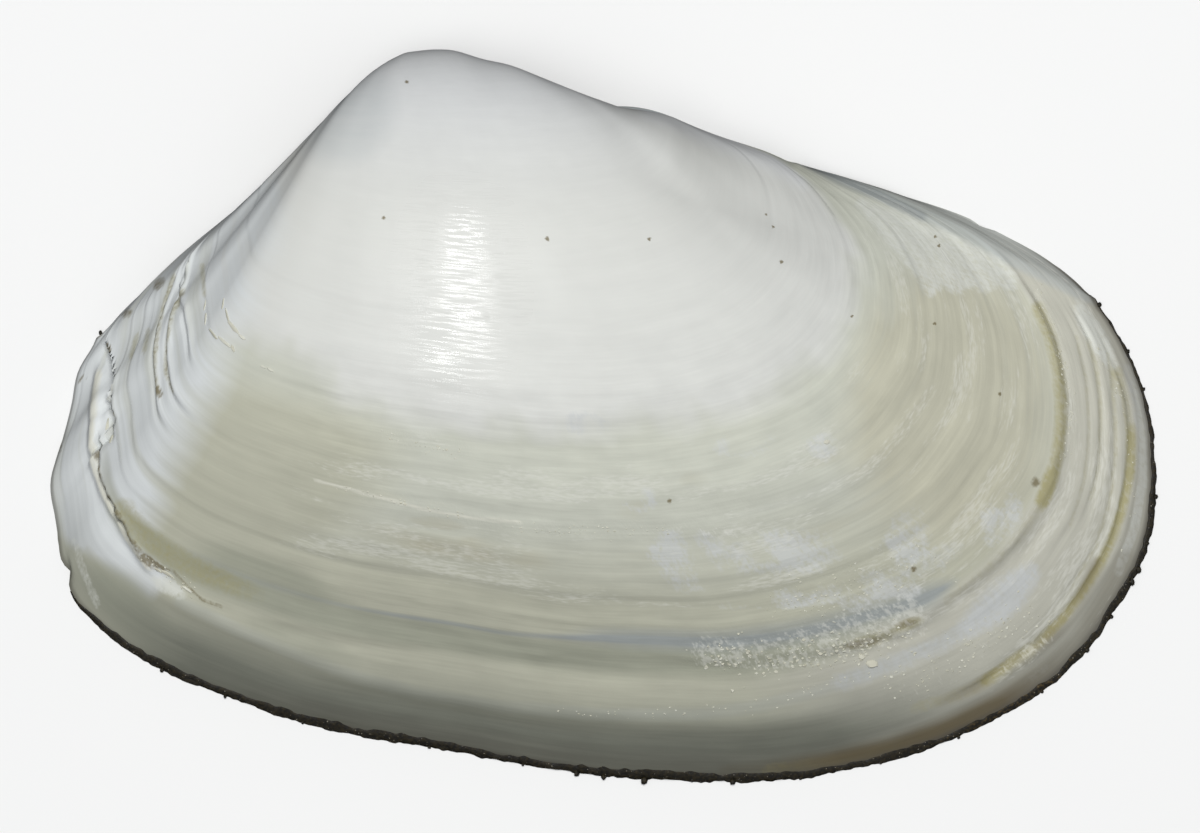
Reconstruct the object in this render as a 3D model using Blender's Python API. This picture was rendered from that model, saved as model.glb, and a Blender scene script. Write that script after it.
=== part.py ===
# The right valve of a tuatua, a surf clam, lying on its rim with its outside up.
# +X points to the long rounded front end, +Y to the hinge side, +Z away from the surface it lies on.
# The valve grew by turning about its hinge, so every earlier margin is the rim made smaller and
# turned up and over the coil axis. The outside is made of those earlier margins.

import math

import bpy
import bmesh
import numpy as np
from mathutils import Vector
from mathutils.bvhtree import BVHTree

# Real sizes, in millimetres
VALVE_LENGTH = 75.0
SWELL = 0.88
RIM_WIDTH = 1.1
WALL = 2.4
RIM_WALL = 0.9
WALL_TAPER = 10.0
MOST_WALL_SHARE = 0.62
LEAST_LEAN = 0.55
HINGE_PLATE_WIDTH = 3.2
HINGE_PLATE_MIDDLE = 2.0
HINGE_PLATE_SPREAD = 13.0
HINGE_PLATE_RECESS = 0.9
HINGE_PLATE_FADE = (-14.0, -8.0)
HINGE_PLATE_SHARE = (0.04, 0.60)
PLATE_STEP = 0.4
BOWL_WALL_RUN = 2.2
TOOTH_TIP = 0.25
TOOTH_TIP_SHARE = 0.55
TOOTH_ROOT = 3.0
PIT_RADII = (1.7, 1.25, 0.8)
METRES = 0.001

# The rim's outline, from the coil axis under the beak: (towards the front, towards the hinge)
HINGE_FRONT = [(2.4, -0.95), (8.2, -0.75), (13.6, -0.95), (17.7, -1.45), (21.8, -2.65), (25.8, -4.05),
               (29.9, -5.3), (34.0, -6.45), (38.1, -7.8)]
FRONT_END = [(41.1, -9.2), (44.1, -10.9), (46.5, -12.8), (48.3, -15.1), (49.9, -18.1), (50.9, -21.2),
             (51.3, -24.5), (51.2, -28.0), (50.5, -31.1), (48.9, -34.1), (46.6, -37.4), (43.7, -40.1)]
LOWER_EDGE = [(40.0, -42.3), (35.7, -44.1), (30.9, -45.4), (25.8, -46.2), (20.4, -46.2), (15.0, -46.0),
              (9.5, -45.3), (4.1, -44.3), (-1.4, -43.4), (-6.8, -42.2), (-12.2, -40.3), (-16.6, -38.4)]
REAR_END = [(-19.9, -36.2), (-22.0, -34.2), (-22.9, -32.4), (-23.2, -30.5), (-23.5, -28.2), (-23.8, -26.4),
            (-23.5, -24.3), (-22.8, -22.4), (-22.4, -20.7), (-22.1, -18.7), (-20.4, -16.1)]
HINGE_REAR = [(-17.7, -13.2), (-14.3, -10.2), (-10.5, -7.1), (-6.8, -4.5), (-3.4, -2.3), (-1.0, -1.4)]

# Growth: how fast the valve turned, and the stages at which a margin is drawn
COIL_RATE = 1.178
YOUNGEST_STAGE = 0.09
# The young valve was narrower for its height, most at the rear: how much at the front and at the rear,
# and the stage by which it grew out of that
NARROWING_FRONT = 0.35
NARROWING_REAR = 1.10
NARROWING_STAGE_FRONT = 0.20
NARROWING_STAGE_REAR = 0.26
REAR_BORDER = 1.4
REAR_BORDER_WIDTH = 4.1
# It was also lower, and its rim grew steeper again at the end: shares of the height
YOUNG_HEIGHT_LOSS = 0.20
YOUNG_HEIGHT_STAGES = (0.10, 0.42)
LATE_HEIGHT_GAIN = 0.05
LATE_HEIGHT_STAGE = 0.86
# The beak leans to the front
BEAK_LEAN = 1.1
BEAK_LEAN_STAGE = 0.17
# The hinge line in front of the beak is fuller than plain growth gives: place, width, rise
HINGE_BULGES = [(15.9, 4.2, 0.72), (5.6, 1.6, -0.27)]
HINGE_LINE_START = (5.4, 3.1)
HINGE_LINE_SLOPE = -0.36
HINGE_BULGE_DEPTH = 3.0
AROUND = 108
STAGES_FULL = [1.0, 0.988, 0.977, 0.971, 0.965, 0.955, 0.948, 0.940, 0.930, 0.916, 0.902, 0.889, 0.877,
               0.872, 0.850, 0.820, 0.801, 0.795, 0.778, 0.765, 0.750, 0.735, 0.718, 0.700, 0.675, 0.640,
               0.609, 0.602, 0.560, 0.505, 0.498, 0.450]
STAGES_HALF = [0.40, 0.34, 0.285, 0.235]
STAGES_QUARTER = [0.195, 0.160, 0.125, YOUNGEST_STAGE]

# Growth stops: heights along the surface normal, in millimetres
BIG_STOP_STAGE = 0.874
BIG_STOP_DROP = 0.34
BIG_STOP_REAR_DROP = 0.50
BIG_STOP_FADE = 0.024
LOWER_CREST_STAGE = 0.940
LOWER_CREST_RISE = 0.22
LOWER_CREST_WIDTH = 0.014
REAR_RIDGE_STAGES = (0.700, 0.735, 0.765)
REAR_RIDGE_RISE = 0.30
REAR_RIDGE_WIDTH = 0.010
SMALL_STOP_STAGES = (0.500, 0.605, 0.798)
SMALL_STOP_DROP = 0.12
SMALL_STOP_FADE = 0.03
FRONT_GROOVE_STAGES = (0.955, 0.971)
FRONT_GROOVE_DEPTH = 0.16
FRONT_GROOVE_WIDTH = 0.004
LUNULE_RIDGE_RISE = 0.30
LUNULE_RIDGE_PLACE = 41.5
LUNULE_RIDGE_WIDTH = 1.6
LUNULE_RIDGE_STAGES = (0.45, 0.75)
SMOOTH_MARGIN_STAGE = 0.985
# Where the stops fade out, in distance below the coil axis or towards the front
HINGE_FADE = (6.0, 15.0)
REAR_FADE = (-4.0, -19.0)
FRONT_FADE = (28.0, 44.0)

# Inside: the bowl's middle and its rings, as shares of the way from the middle to the rim
BOWL_MIDDLE = (12.0, -20.5)
BOWL_RINGS_FULL = [0.86, 0.72, 0.57]
BOWL_RINGS_HALF = [0.42, 0.28, 0.14]

# Hinge teeth and ligament pit, from the coil axis: name, start, end, thickness
TEETH = [("cardinal_tooth_front", (3.4, -2.8), (5.2, -4.7), 0.9),
         ("cardinal_tooth_rear", (1.3, -2.7), (1.7, -4.6), 0.7),
         ("lateral_tooth_front", (7.6, -3.0), (12.4, -3.1), 1.0),
         ("lateral_tooth_rear", (-4.0, -5.3), (-8.0, -8.1), 0.9)]
PIT_MIDDLE = (-1.3, -4.2)


def remove_everything():
    for item in list(bpy.data.objects):
        bpy.data.objects.remove(item, do_unlink=True)


def smooth_step(low, high, value):
    share = np.clip((value - low) / (high - low), 0.0, 1.0)
    return share * share * (3.0 - 2.0 * share)


def smooth_loop(points, count):
    """A closed curve through the points, read at even spacing."""
    points = np.array(points, dtype=float)
    total = len(points)
    curve = []
    for i in range(total):
        p0, p1, p2, p3 = (points[(i + step) % total] for step in (-1, 0, 1, 2))
        t1 = math.sqrt(np.linalg.norm(p1 - p0))
        t2 = t1 + math.sqrt(np.linalg.norm(p2 - p1))
        t3 = t2 + math.sqrt(np.linalg.norm(p3 - p2))
        t = np.linspace(t1, t2, 20, endpoint=False)[:, None]
        a1 = (t1 - t) / t1 * p0 + t / t1 * p1
        a2 = (t2 - t) / (t2 - t1) * p1 + (t - t1) / (t2 - t1) * p2
        a3 = (t3 - t) / (t3 - t2) * p2 + (t - t2) / (t3 - t2) * p3
        b1 = (t2 - t) / t2 * a1 + t / t2 * a2
        b2 = (t3 - t) / (t3 - t1) * a2 + (t - t1) / (t3 - t1) * a3
        curve.append((t2 - t) / (t2 - t1) * b1 + (t - t1) / (t2 - t1) * b2)
    curve = np.concatenate(curve)
    curve = np.vstack([curve, curve[:1]])
    run = np.concatenate([[0.0], np.cumsum(np.linalg.norm(np.diff(curve, axis=0), axis=1))])
    places = np.linspace(0.0, run[-1], count, endpoint=False)
    return np.stack([np.interp(places, run, curve[:, 0]), np.interp(places, run, curve[:, 1])], axis=1)


def beak_narrowing(forward, stage):
    """The young valve was narrower for its height than the grown one, most at the rear."""
    rear = 0.5 - 0.5 * np.tanh((forward - REAR_BORDER) / REAR_BORDER_WIDTH)
    amount = NARROWING_FRONT + (NARROWING_REAR - NARROWING_FRONT) * rear
    reach = NARROWING_STAGE_FRONT + (NARROWING_STAGE_REAR - NARROWING_STAGE_FRONT) * rear
    return (1.0 - amount * np.exp(-stage / reach)) / (1.0 - amount * np.exp(-1.0 / reach))


def height_growth(stage):
    late = LATE_HEIGHT_GAIN * (smooth_step(LATE_HEIGHT_STAGE, 1.0, stage) - 1.0)
    young = YOUNG_HEIGHT_LOSS * (smooth_step(*YOUNG_HEIGHT_STAGES, stage) - 1.0)
    return (1.0 + late) * (1.0 + young)


def fit_hinge_line(points):
    """The points, moved a little where the hinge line bulges in front of the beak."""
    forward, upward = points[:, 0], points[:, 1]
    line = HINGE_LINE_START[1] + HINGE_LINE_SLOPE * (forward - HINGE_LINE_START[0])
    near = np.exp(-(np.minimum(upward - line, 0.0) / HINGE_BULGE_DEPTH) ** 2)
    moved = points.copy()
    for place, width, rise in HINGE_BULGES:
        moved[:, 1] += rise * near * np.exp(-((forward - place) / width) ** 2)
    return moved


def plain_margin(rim, stage):
    """The margin that the valve had at this stage, without its relief, in millimetres."""
    forward = rim[:, 0]
    below_axis = -rim[:, 1]
    turn = -COIL_RATE * math.log(stage)
    reach = stage * height_growth(stage) * below_axis
    x = stage * forward * beak_narrowing(forward, stage)
    x += BEAK_LEAN * math.exp(-(stage / BEAK_LEAN_STAGE) ** 2)
    return fit_hinge_line(np.stack([x, -reach * math.cos(turn), SWELL * reach * math.sin(turn)], axis=1))


def relief(rim, stage):
    """How far growth stops and ridges lift or sink the outside at this stage, in millimetres."""
    forward = rim[:, 0]
    below_axis = -rim[:, 1]
    away_from_hinge = smooth_step(*HINGE_FADE, below_axis)
    rear = smooth_step(*REAR_FADE, forward)
    front = smooth_step(*FRONT_FADE, forward)
    height = np.zeros(len(rim))
    if stage > BIG_STOP_STAGE:
        drop = (BIG_STOP_DROP + BIG_STOP_REAR_DROP * rear) * away_from_hinge
        height -= drop * math.exp(-(stage - BIG_STOP_STAGE) / BIG_STOP_FADE)
    for stop in SMALL_STOP_STAGES:
        if stage > stop:
            height -= SMALL_STOP_DROP * away_from_hinge * math.exp(-(stage - stop) / SMALL_STOP_FADE)
    on_crest = math.exp(-((stage - LOWER_CREST_STAGE) / LOWER_CREST_WIDTH) ** 2)
    height += LOWER_CREST_RISE * away_from_hinge * on_crest
    for ridge in REAR_RIDGE_STAGES:
        height += REAR_RIDGE_RISE * rear * math.exp(-((stage - ridge) / REAR_RIDGE_WIDTH) ** 2)
    for groove in FRONT_GROOVE_STAGES:
        height -= FRONT_GROOVE_DEPTH * front * math.exp(-((stage - groove) / FRONT_GROOVE_WIDTH) ** 2)
    on_lunule_ridge = np.exp(-((forward - LUNULE_RIDGE_PLACE) / LUNULE_RIDGE_WIDTH) ** 2)
    on_lunule_ridge *= smooth_step(-16.0, -12.0, rim[:, 1]) * smooth_step(*LUNULE_RIDGE_STAGES, stage)
    height += LUNULE_RIDGE_RISE * on_lunule_ridge
    return height * (1.0 - smooth_step(SMOOTH_MARGIN_STAGE, 1.0, stage))


def margin_at(rim, stage):
    plain = plain_margin(rim, stage)
    if stage >= 1.0:
        return plain
    along = np.roll(plain, -1, axis=0) - np.roll(plain, 1, axis=0)
    across = plain_margin(rim, stage + 0.002) - plain_margin(rim, stage - 0.002)
    outward = np.cross(along, across)
    outward /= np.maximum(np.linalg.norm(outward, axis=1), 1e-9)[:, None]
    return plain + outward * relief(rim, stage)[:, None]


def add_ring(mesh, points):
    return [mesh.verts.new(Vector(point) * METRES) for point in points]


def join_rings(mesh, outer, inner):
    """Faces between two rings, where the inner one has as many points, or half as many."""
    count = len(outer)
    if len(inner) == count:
        for i in range(count):
            j = (i + 1) % count
            mesh.faces.new((outer[i], outer[j], inner[j], inner[i]))
        return
    half = len(inner)
    for k in range(half):
        i, j, m = 2 * k, 2 * k + 1, (2 * k + 2) % count
        n = (k + 1) % half
        mesh.faces.new((outer[i], outer[j], inner[k]))
        mesh.faces.new((outer[j], inner[n], inner[k]))
        mesh.faces.new((outer[j], outer[m], inner[n]))


def close_ring(mesh, ring, middle):
    tip = mesh.verts.new(Vector(middle) * METRES)
    for i in range(len(ring)):
        mesh.faces.new((ring[i], ring[(i + 1) % len(ring)], tip))


def outside_rings(rim, margin):
    rings = [margin(rim, stage) for stage in STAGES_FULL]
    rings += [margin(rim, stage)[::2] for stage in STAGES_HALF]
    rings += [margin(rim, stage)[::4] for stage in STAGES_QUARTER]
    return rings


def plain_outside_tree(rim):
    """The outside without its relief, as a surface that a plumb line can be dropped on."""
    mesh = bmesh.new()
    made = [add_ring(mesh, ring / METRES) for ring in outside_rings(rim, plain_margin)]
    for outer, inner in zip(made[:-1], made[1:]):
        join_rings(mesh, outer, inner)
    tree = BVHTree.FromBMesh(mesh)
    mesh.free()
    return tree


def bowl_height(tree, x, y, from_rim):
    """The inside's height: the outside less the wall, which thins towards the rim."""
    place, normal, _, _ = tree.ray_cast(Vector((x, y, 100.0)), Vector((0.0, 0.0, -1.0)))
    wall = RIM_WALL + (WALL - RIM_WALL) * smooth_step(0.0, WALL_TAPER, from_rim)
    lean = max(abs(normal.z), LEAST_LEAN)
    return place.z - min(wall / lean, MOST_WALL_SHARE * place.z)


def inset_rim(rim, width):
    along = np.roll(rim, -1, axis=0) - np.roll(rim, 1, axis=0)
    along /= np.linalg.norm(along, axis=1)[:, None]
    inward = np.stack([along[:, 1], -along[:, 0]], axis=1)
    return rim + inward * width


def bowl_ring(tree, places, from_rim, plate_share):
    """A ring of the inside, held down to the hinge plate where plate_share is 1."""
    heights = np.array([bowl_height(tree, x, y, far) for (x, y), far in zip(places, from_rim)])
    plate = np.minimum(heights, HINGE_PLATE_RECESS)
    return np.column_stack([places, heights + (plate - heights) * plate_share])


def inside_rings(rim, tree):
    edge = inset_rim(fit_hinge_line(rim), RIM_WIDTH)
    middle = np.array(BOWL_MIDDLE)
    inward = middle - edge
    reach = np.linalg.norm(inward, axis=1)
    inward /= reach[:, None]
    near_hinge = np.exp(-((rim[:, 0] - HINGE_PLATE_MIDDLE) / HINGE_PLATE_SPREAD) ** 2)
    near_hinge *= smooth_step(*HINGE_PLATE_FADE, rim[:, 1])
    plate = HINGE_PLATE_WIDTH * near_hinge
    plate_share = smooth_step(*HINGE_PLATE_SHARE, near_hinge)
    rings = [np.column_stack([edge, np.zeros(len(edge))])]
    plate_end = plate + 2.0 * PLATE_STEP
    for from_edge, share in ((np.full_like(plate, PLATE_STEP), 1.0), (plate_end, 1.0),
                             (plate_end + BOWL_WALL_RUN, 0.0)):
        places = edge + inward * from_edge[:, None]
        rings.append(bowl_ring(tree, places, RIM_WIDTH + from_edge, plate_share * share))
    bowl_edge = rings[-1][:, :2]
    for share in BOWL_RINGS_FULL + BOWL_RINGS_HALF:
        places = middle + (bowl_edge - middle) * share
        ring = bowl_ring(tree, places, reach - np.linalg.norm(places - middle, axis=1), 0.0)
        rings.append(ring if share in BOWL_RINGS_FULL else ring[::2])
    top = bowl_height(tree, *BOWL_MIDDLE, reach.min())
    return rings, (*BOWL_MIDDLE, top)


def valve_mesh():
    """The closed valve with its box's bottom middle at the origin, and the coil axis's place."""
    rim = smooth_loop(HINGE_FRONT + FRONT_END + LOWER_EDGE + REAR_END + HINGE_REAR, AROUND)
    outside = outside_rings(rim, margin_at)
    inside, bowl_top = inside_rings(rim, plain_outside_tree(rim))
    everything = np.concatenate(outside)
    low, high = everything.min(axis=0), everything.max(axis=0)
    scale = VALVE_LENGTH / (high[0] - low[0])
    shift = np.array([-(low[0] + high[0]) / 2.0, -(low[1] + high[1]) / 2.0, 0.0])
    mesh = bmesh.new()
    rings = [add_ring(mesh, (ring + shift) * scale) for ring in outside]
    for outer, inner in zip(rings[:-1], rings[1:]):
        join_rings(mesh, outer, inner)
    close_ring(mesh, rings[-1], (outside[-1].mean(axis=0) + shift) * scale)
    bowl = [rings[0]] + [add_ring(mesh, (ring + shift) * scale) for ring in inside]
    for outer, inner in zip(bowl[:-1], bowl[1:]):
        join_rings(mesh, outer, inner)
    close_ring(mesh, bowl[-1], (np.array(bowl_top) + shift) * scale)
    bmesh.ops.recalc_face_normals(mesh, faces=mesh.faces)
    return mesh, shift * scale


def shell_material():
    material = bpy.data.materials.new("worn_aragonite")
    material.use_nodes = True
    shader = material.node_tree.nodes["Principled BSDF"]
    shader.inputs["Base Color"].default_value = (0.66, 0.65, 0.55, 1.0)
    shader.inputs["Roughness"].default_value = 0.38
    shader.inputs["Metallic"].default_value = 0.0
    return material


def add_object(name, mesh, material=None):
    data = bpy.data.meshes.new(name)
    mesh.to_mesh(data)
    mesh.free()
    item = bpy.data.objects.new(name, data)
    bpy.context.scene.collection.objects.link(item)
    if material:
        data.materials.append(material)
    return item


def hide_cutter(item):
    item.hide_render = True
    item.display_type = "WIRE"


def tooth(name, start, end, thickness, axis_place):
    """A hinge tooth: a short blade, narrower at its tip, sunk in the hinge plate."""
    start = np.array(start) + axis_place[:2]
    end = np.array(end) + axis_place[:2]
    along = (end - start) / np.linalg.norm(end - start)
    side = np.array([-along[1], along[0]]) * thickness / 2.0
    mesh = bmesh.new()
    for height, width in ((TOOTH_ROOT, 1.0), (TOOTH_TIP, TOOTH_TIP_SHARE)):
        for place, way in ((start, 1.0), (end, 1.0), (end, -1.0), (start, -1.0)):
            corner = place + side * way * width
            mesh.verts.new(Vector((corner[0], corner[1], height)) * METRES)
    bmesh.ops.convex_hull(mesh, input=mesh.verts)
    bmesh.ops.recalc_face_normals(mesh, faces=mesh.faces)
    item = add_object(name, mesh)
    hide_cutter(item)
    return item


def ligament_pit(axis_place):
    """The hollow under the beak that held the springy inner ligament."""
    mesh = bmesh.new()
    bmesh.ops.create_uvsphere(mesh, u_segments=14, v_segments=8, radius=METRES)
    middle = (Vector(axis_place) + Vector((PIT_MIDDLE[0], PIT_MIDDLE[1], HINGE_PLATE_RECESS))) * METRES
    for vert in mesh.verts:
        vert.co = Vector([way * radius for way, radius in zip(vert.co, PIT_RADII)]) + middle
    item = add_object("ligament_pit_cutter", mesh)
    hide_cutter(item)
    return item


def add_boolean(item, other, operation):
    change = item.modifiers.new(other.name, "BOOLEAN")
    change.operation = operation
    change.object = other


def build():
    remove_everything()
    mesh, axis_place = valve_mesh()
    valve = add_object("right_valve", mesh, shell_material())
    valve.data.shade_smooth()
    valve.data.set_sharp_from_angle(angle=math.radians(50.0))
    for name, start, end, thickness in TEETH:
        add_boolean(valve, tooth(name, start, end, thickness, axis_place), "UNION")
    add_boolean(valve, ligament_pit(axis_place), "DIFFERENCE")


build()
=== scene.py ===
import math

import bmesh
import bpy
import numpy as np
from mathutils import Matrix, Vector
from mathutils.bvhtree import BVHTree


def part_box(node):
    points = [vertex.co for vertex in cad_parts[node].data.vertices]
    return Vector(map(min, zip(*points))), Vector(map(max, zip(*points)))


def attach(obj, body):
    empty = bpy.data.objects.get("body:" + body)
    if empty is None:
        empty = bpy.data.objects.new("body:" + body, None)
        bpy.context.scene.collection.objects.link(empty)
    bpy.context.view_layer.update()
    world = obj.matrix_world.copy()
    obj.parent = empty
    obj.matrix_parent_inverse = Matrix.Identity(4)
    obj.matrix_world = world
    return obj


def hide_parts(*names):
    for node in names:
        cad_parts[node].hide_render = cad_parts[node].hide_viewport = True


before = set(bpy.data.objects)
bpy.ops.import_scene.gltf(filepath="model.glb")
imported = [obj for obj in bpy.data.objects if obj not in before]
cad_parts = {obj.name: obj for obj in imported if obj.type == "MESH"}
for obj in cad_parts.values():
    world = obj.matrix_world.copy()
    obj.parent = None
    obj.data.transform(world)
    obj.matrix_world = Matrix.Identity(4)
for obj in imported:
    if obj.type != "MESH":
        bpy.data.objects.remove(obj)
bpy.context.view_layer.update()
cadLow, cadHigh = (np.array(corner) * 1000 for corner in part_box("right_valve"))
print("frame loaded, valve box in mm:", cadLow.round(2), cadHigh.round(2))

# The photograph, 1200 by 833 pixels: where the valve's box lies in it, and how many mm a pixel is
photo = {
    "width": 1200, "height": 833,
    "valveMiddleX": 602.5, "valveMiddleY": 415,
    "mmPerPixel": 75 / 1103,
}

# The valve, all lengths in mm. The outline runs clockwise from the beak, seen from outside, and is
# measured from the coil axis: (towards the front, towards the hinge)
valve = {
    "hingeFront": [
        (2.4, -0.95), (8.2, -0.75), (13.6, -0.95), (17.7, -1.45), (21.8, -2.65), (25.8, -4.05),
        (29.9, -5.3), (34, -6.45), (38.1, -7.8)],
    "frontEnd": [
        (41.1, -9.2), (44.1, -10.9), (46.5, -12.8), (48.3, -15.1), (49.9, -18.1), (50.9, -21.2),
        (51.3, -24.5), (51.2, -28), (50.5, -31.1), (48.9, -34.1), (46.6, -37.4), (43.7, -40.1)],
    "lowerEdge": [
        (40, -42.3), (35.7, -44.1), (30.9, -45.4), (25.8, -46.2), (20.4, -46.2), (15, -46),
        (9.5, -45.3), (4.1, -44.3), (-1.4, -43.4), (-6.8, -42.2), (-12.2, -40.3), (-16.6, -38.4)],
    "rearEnd": [
        (-19.9, -36.2), (-22, -34.2), (-22.9, -32.4), (-23.2, -30.5), (-23.5, -28.2), (-23.8, -26.4),
        (-23.5, -24.3), (-22.8, -22.4), (-22.4, -20.7), (-22.1, -18.7), (-20.4, -16.1)],
    "hingeRear": [(-17.7, -13.2), (-14.3, -10.2), (-10.5, -7.1), (-6.8, -4.5), (-3.4, -2.3), (-1, -1.4)],
    "coilRate": 1.178,
    # the young valve's narrowing at the front and the rear, and the stages by which it grew out of it
    "narrowing": (0.35, 1.10), "narrowingStage": (0.20, 0.26), "rearBorder": (1.4, 4.1),
    # the hinge line in front of the beak is fuller than plain growth gives: place, width, rise
    "hingeBulges": [(15.9, 4.2, 0.72), (5.6, 1.6, -0.27)],
    "hingeLine": (5.4, 3.1, -0.36), "hingeBulgeDepth": 3,
    "swell": 0.88,
    "youngestStage": 0.078, "growthLength": 46,
    "around": 420,
    "rimWidth": 1.1,
    "wall": 2.4,
    "rimWall": 0.9,
    "wallTaper": 10,
    "mostWallShare": 0.62,
    "leastLean": 0.55,
    "hingePlateWidth": 3.2,
    "hingePlateMiddle": 2,
    "hingePlateSpread": 13,
    "hingePlateRecess": 0.9,
    "plateStep": 0.4,
    "bowlWallRun": 2.2,
    "bowlMiddle": (12, -20.5),
}

# Growth lines as the photograph shows them, in its pixels, from the rear end round to the front
growthLines = {
    "bigStop": [
        (107, 345), (113, 362), (116, 380), (112, 395), (107, 402), (117, 416), (114, 430), (102, 441),
        (98, 455), (100, 470), (106, 490), (115, 505), (124, 520), (130, 535), (141, 550), (150, 557),
        (160, 566), (175, 571), (188, 584), (197, 594), (205, 600), (225, 607), (245, 613), (300, 624),
        (400, 640), (500, 650), (600, 656), (700, 658), (800, 652), (860, 640), (920, 618), (945, 600),
        (972, 582), (992, 563), (1010, 545), (1030, 520), (1042, 500), (1050, 478), (1056, 460),
        (1060, 430), (1061, 400), (1058, 370), (1050, 335), (1038, 308), (1022, 282)],
    "shadedStepBand": [
        (210, 560), (250, 578), (300, 592), (400, 614), (500, 629), (600, 637), (700, 640), (780, 633),
        (860, 616), (920, 598)],
    "lowerCrest": [
        (180, 600), (240, 630), (300, 655), (360, 677), (420, 690), (500, 705), (600, 715), (700, 720),
        (800, 716)],
    "frontGrooveA": [(1088, 340), (1097, 370), (1100, 400), (1100, 430), (1098, 470), (1090, 500)],
    "frontGrooveB": [
        (1118, 372), (1126, 400), (1130, 430), (1130, 455), (1128, 480), (1122, 510), (1112, 540),
        (1098, 568), (1080, 595), (1060, 620), (1032, 645), (1008, 662), (985, 680)],
    "frontGrooveC": [(1076, 335), (1086, 380), (1089, 430), (1084, 480), (1070, 525)],
    "frontGrooveD": [(1108, 352), (1114, 400), (1116, 450), (1110, 500), (1096, 545), (1070, 590)],
    "rearRidgeA": [(178, 278), (166, 308), (158, 338), (157, 368), (160, 396)],
    "rearRidgeB": [(188, 283), (177, 305), (170, 330), (169, 360), (174, 388)],
    "rearRidgeC": [(192, 262), (183, 285), (186, 310), (192, 335)],
}


def smoothStep(low, high, value):
    share = np.clip((value - low) / (high - low), 0, 1)
    return share * share * (3 - 2 * share)


def bell(value, middle, width):
    return np.exp(-((value - middle) / width) ** 2)


def window(value, start, full, end, gone):
    # rises from 0 to 1 between the first two values and falls back between the last two
    return smoothStep(start, full, value) * (1 - smoothStep(end, gone, value))


def noiseTable(seed):
    return np.random.default_rng(seed).uniform(-1, 1, 4096)


def lineNoise(x, seed):
    # smooth noise along one direction, from -1 to 1
    table = noiseTable(seed)
    cell = np.floor(x).astype(int)
    part = x - cell
    part = part * part * (3 - 2 * part)
    return table[cell % 4096] * (1 - part) + table[(cell + 1) % 4096] * part


def sheetNoise(x, y, seed):
    # smooth noise over two directions, from -1 to 1
    table = noiseTable(seed)
    cellX, cellY = np.floor(x).astype(int), np.floor(y).astype(int)
    partX, partY = x - cellX, y - cellY
    partX, partY = (part * part * (3 - 2 * part) for part in (partX, partY))

    def corner(stepX, stepY):
        return table[((cellX + stepX) * 73 + (cellY + stepY) * 1291) % 4096]

    low = corner(0, 0) * (1 - partX) + corner(1, 0) * partX
    high = corner(0, 1) * (1 - partX) + corner(1, 1) * partX
    return low * (1 - partY) + high * partY


def smoothLoop(points, count):
    # a closed curve through the points, read at even spacing
    points = np.array(points, dtype=float)
    total = len(points)
    curve = []
    for i in range(total):
        p0, p1, p2, p3 = (points[(i + step) % total] for step in (-1, 0, 1, 2))
        t1 = math.sqrt(np.linalg.norm(p1 - p0))
        t2 = t1 + math.sqrt(np.linalg.norm(p2 - p1))
        t3 = t2 + math.sqrt(np.linalg.norm(p3 - p2))
        t = np.linspace(t1, t2, 40, endpoint=False)[:, None]
        a1 = (t1 - t) / t1 * p0 + t / t1 * p1
        a2 = (t2 - t) / (t2 - t1) * p1 + (t - t1) / (t2 - t1) * p2
        a3 = (t3 - t) / (t3 - t2) * p2 + (t - t2) / (t3 - t2) * p3
        b1 = (t2 - t) / t2 * a1 + t / t2 * a2
        b2 = (t3 - t) / (t3 - t1) * a2 + (t - t1) / (t3 - t1) * a3
        curve.append((t2 - t) / (t2 - t1) * b1 + (t - t1) / (t2 - t1) * b2)
    curve = np.concatenate(curve)
    curve = np.vstack([curve, curve[:1]])
    run = np.concatenate([[0], np.cumsum(np.linalg.norm(np.diff(curve, axis=0), axis=1))])
    places = np.linspace(0, run[-1], count, endpoint=False)
    return np.stack([np.interp(places, run, curve[:, 0]), np.interp(places, run, curve[:, 1])], axis=1)


def rimOutline(count):
    parts = ("hingeFront", "frontEnd", "lowerEdge", "rearEnd", "hingeRear")
    return smoothLoop([point for part in parts for point in valve[part]], count)


def fitHingeLine(points):
    forward, upward = points[..., 0], points[..., 1]
    start, startHeight, slope = valve["hingeLine"]
    below = np.minimum(upward - startHeight - slope * (forward - start), 0)
    rise = sum(high * bell(forward, place, width) for place, width, high in valve["hingeBulges"])
    moved = points.copy()
    moved[..., 1] += rise * bell(below, 0, valve["hingeBulgeDepth"])
    return moved


def plainMargins(rim, stages):
    # the margins that the valve had at these stages: an array of stage by place round the rim
    stage = np.asarray(stages)[:, None]
    forward, belowAxis = rim[None, :, 0], -rim[None, :, 1]
    border, borderWidth = valve["rearBorder"]
    rear = 0.5 - 0.5 * np.tanh((forward - border) / borderWidth)
    amount, reach = (front + (back - front) * rear
                     for front, back in (valve["narrowing"], valve["narrowingStage"]))
    narrowing = (1 - amount * np.exp(-stage / reach)) / (1 - amount * np.exp(-1 / reach))
    growth = (0.95 + 0.05 * smoothStep(0.86, 1, stage)) * (0.80 + 0.20 * smoothStep(0.10, 0.42, stage))
    turn = -valve["coilRate"] * np.log(stage)
    x = stage * forward * narrowing + 1.1 * np.exp(-(stage / 0.17) ** 2)
    y = -stage * growth * belowAxis * np.cos(turn)
    z = valve["swell"] * stage * growth * belowAxis * np.sin(turn)
    return fitHingeLine(np.stack([x, y, z], axis=2))


def outwardOf(places):
    # unit normals of a grid of places, out of the shell
    aroundWay = np.roll(places, -1, axis=1) - np.roll(places, 1, axis=1)
    growthWay = -np.gradient(places, axis=0)
    outward = np.cross(aroundWay, growthWay)
    return outward / np.maximum(np.linalg.norm(outward, axis=2), 1e-9)[:, :, None]


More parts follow.
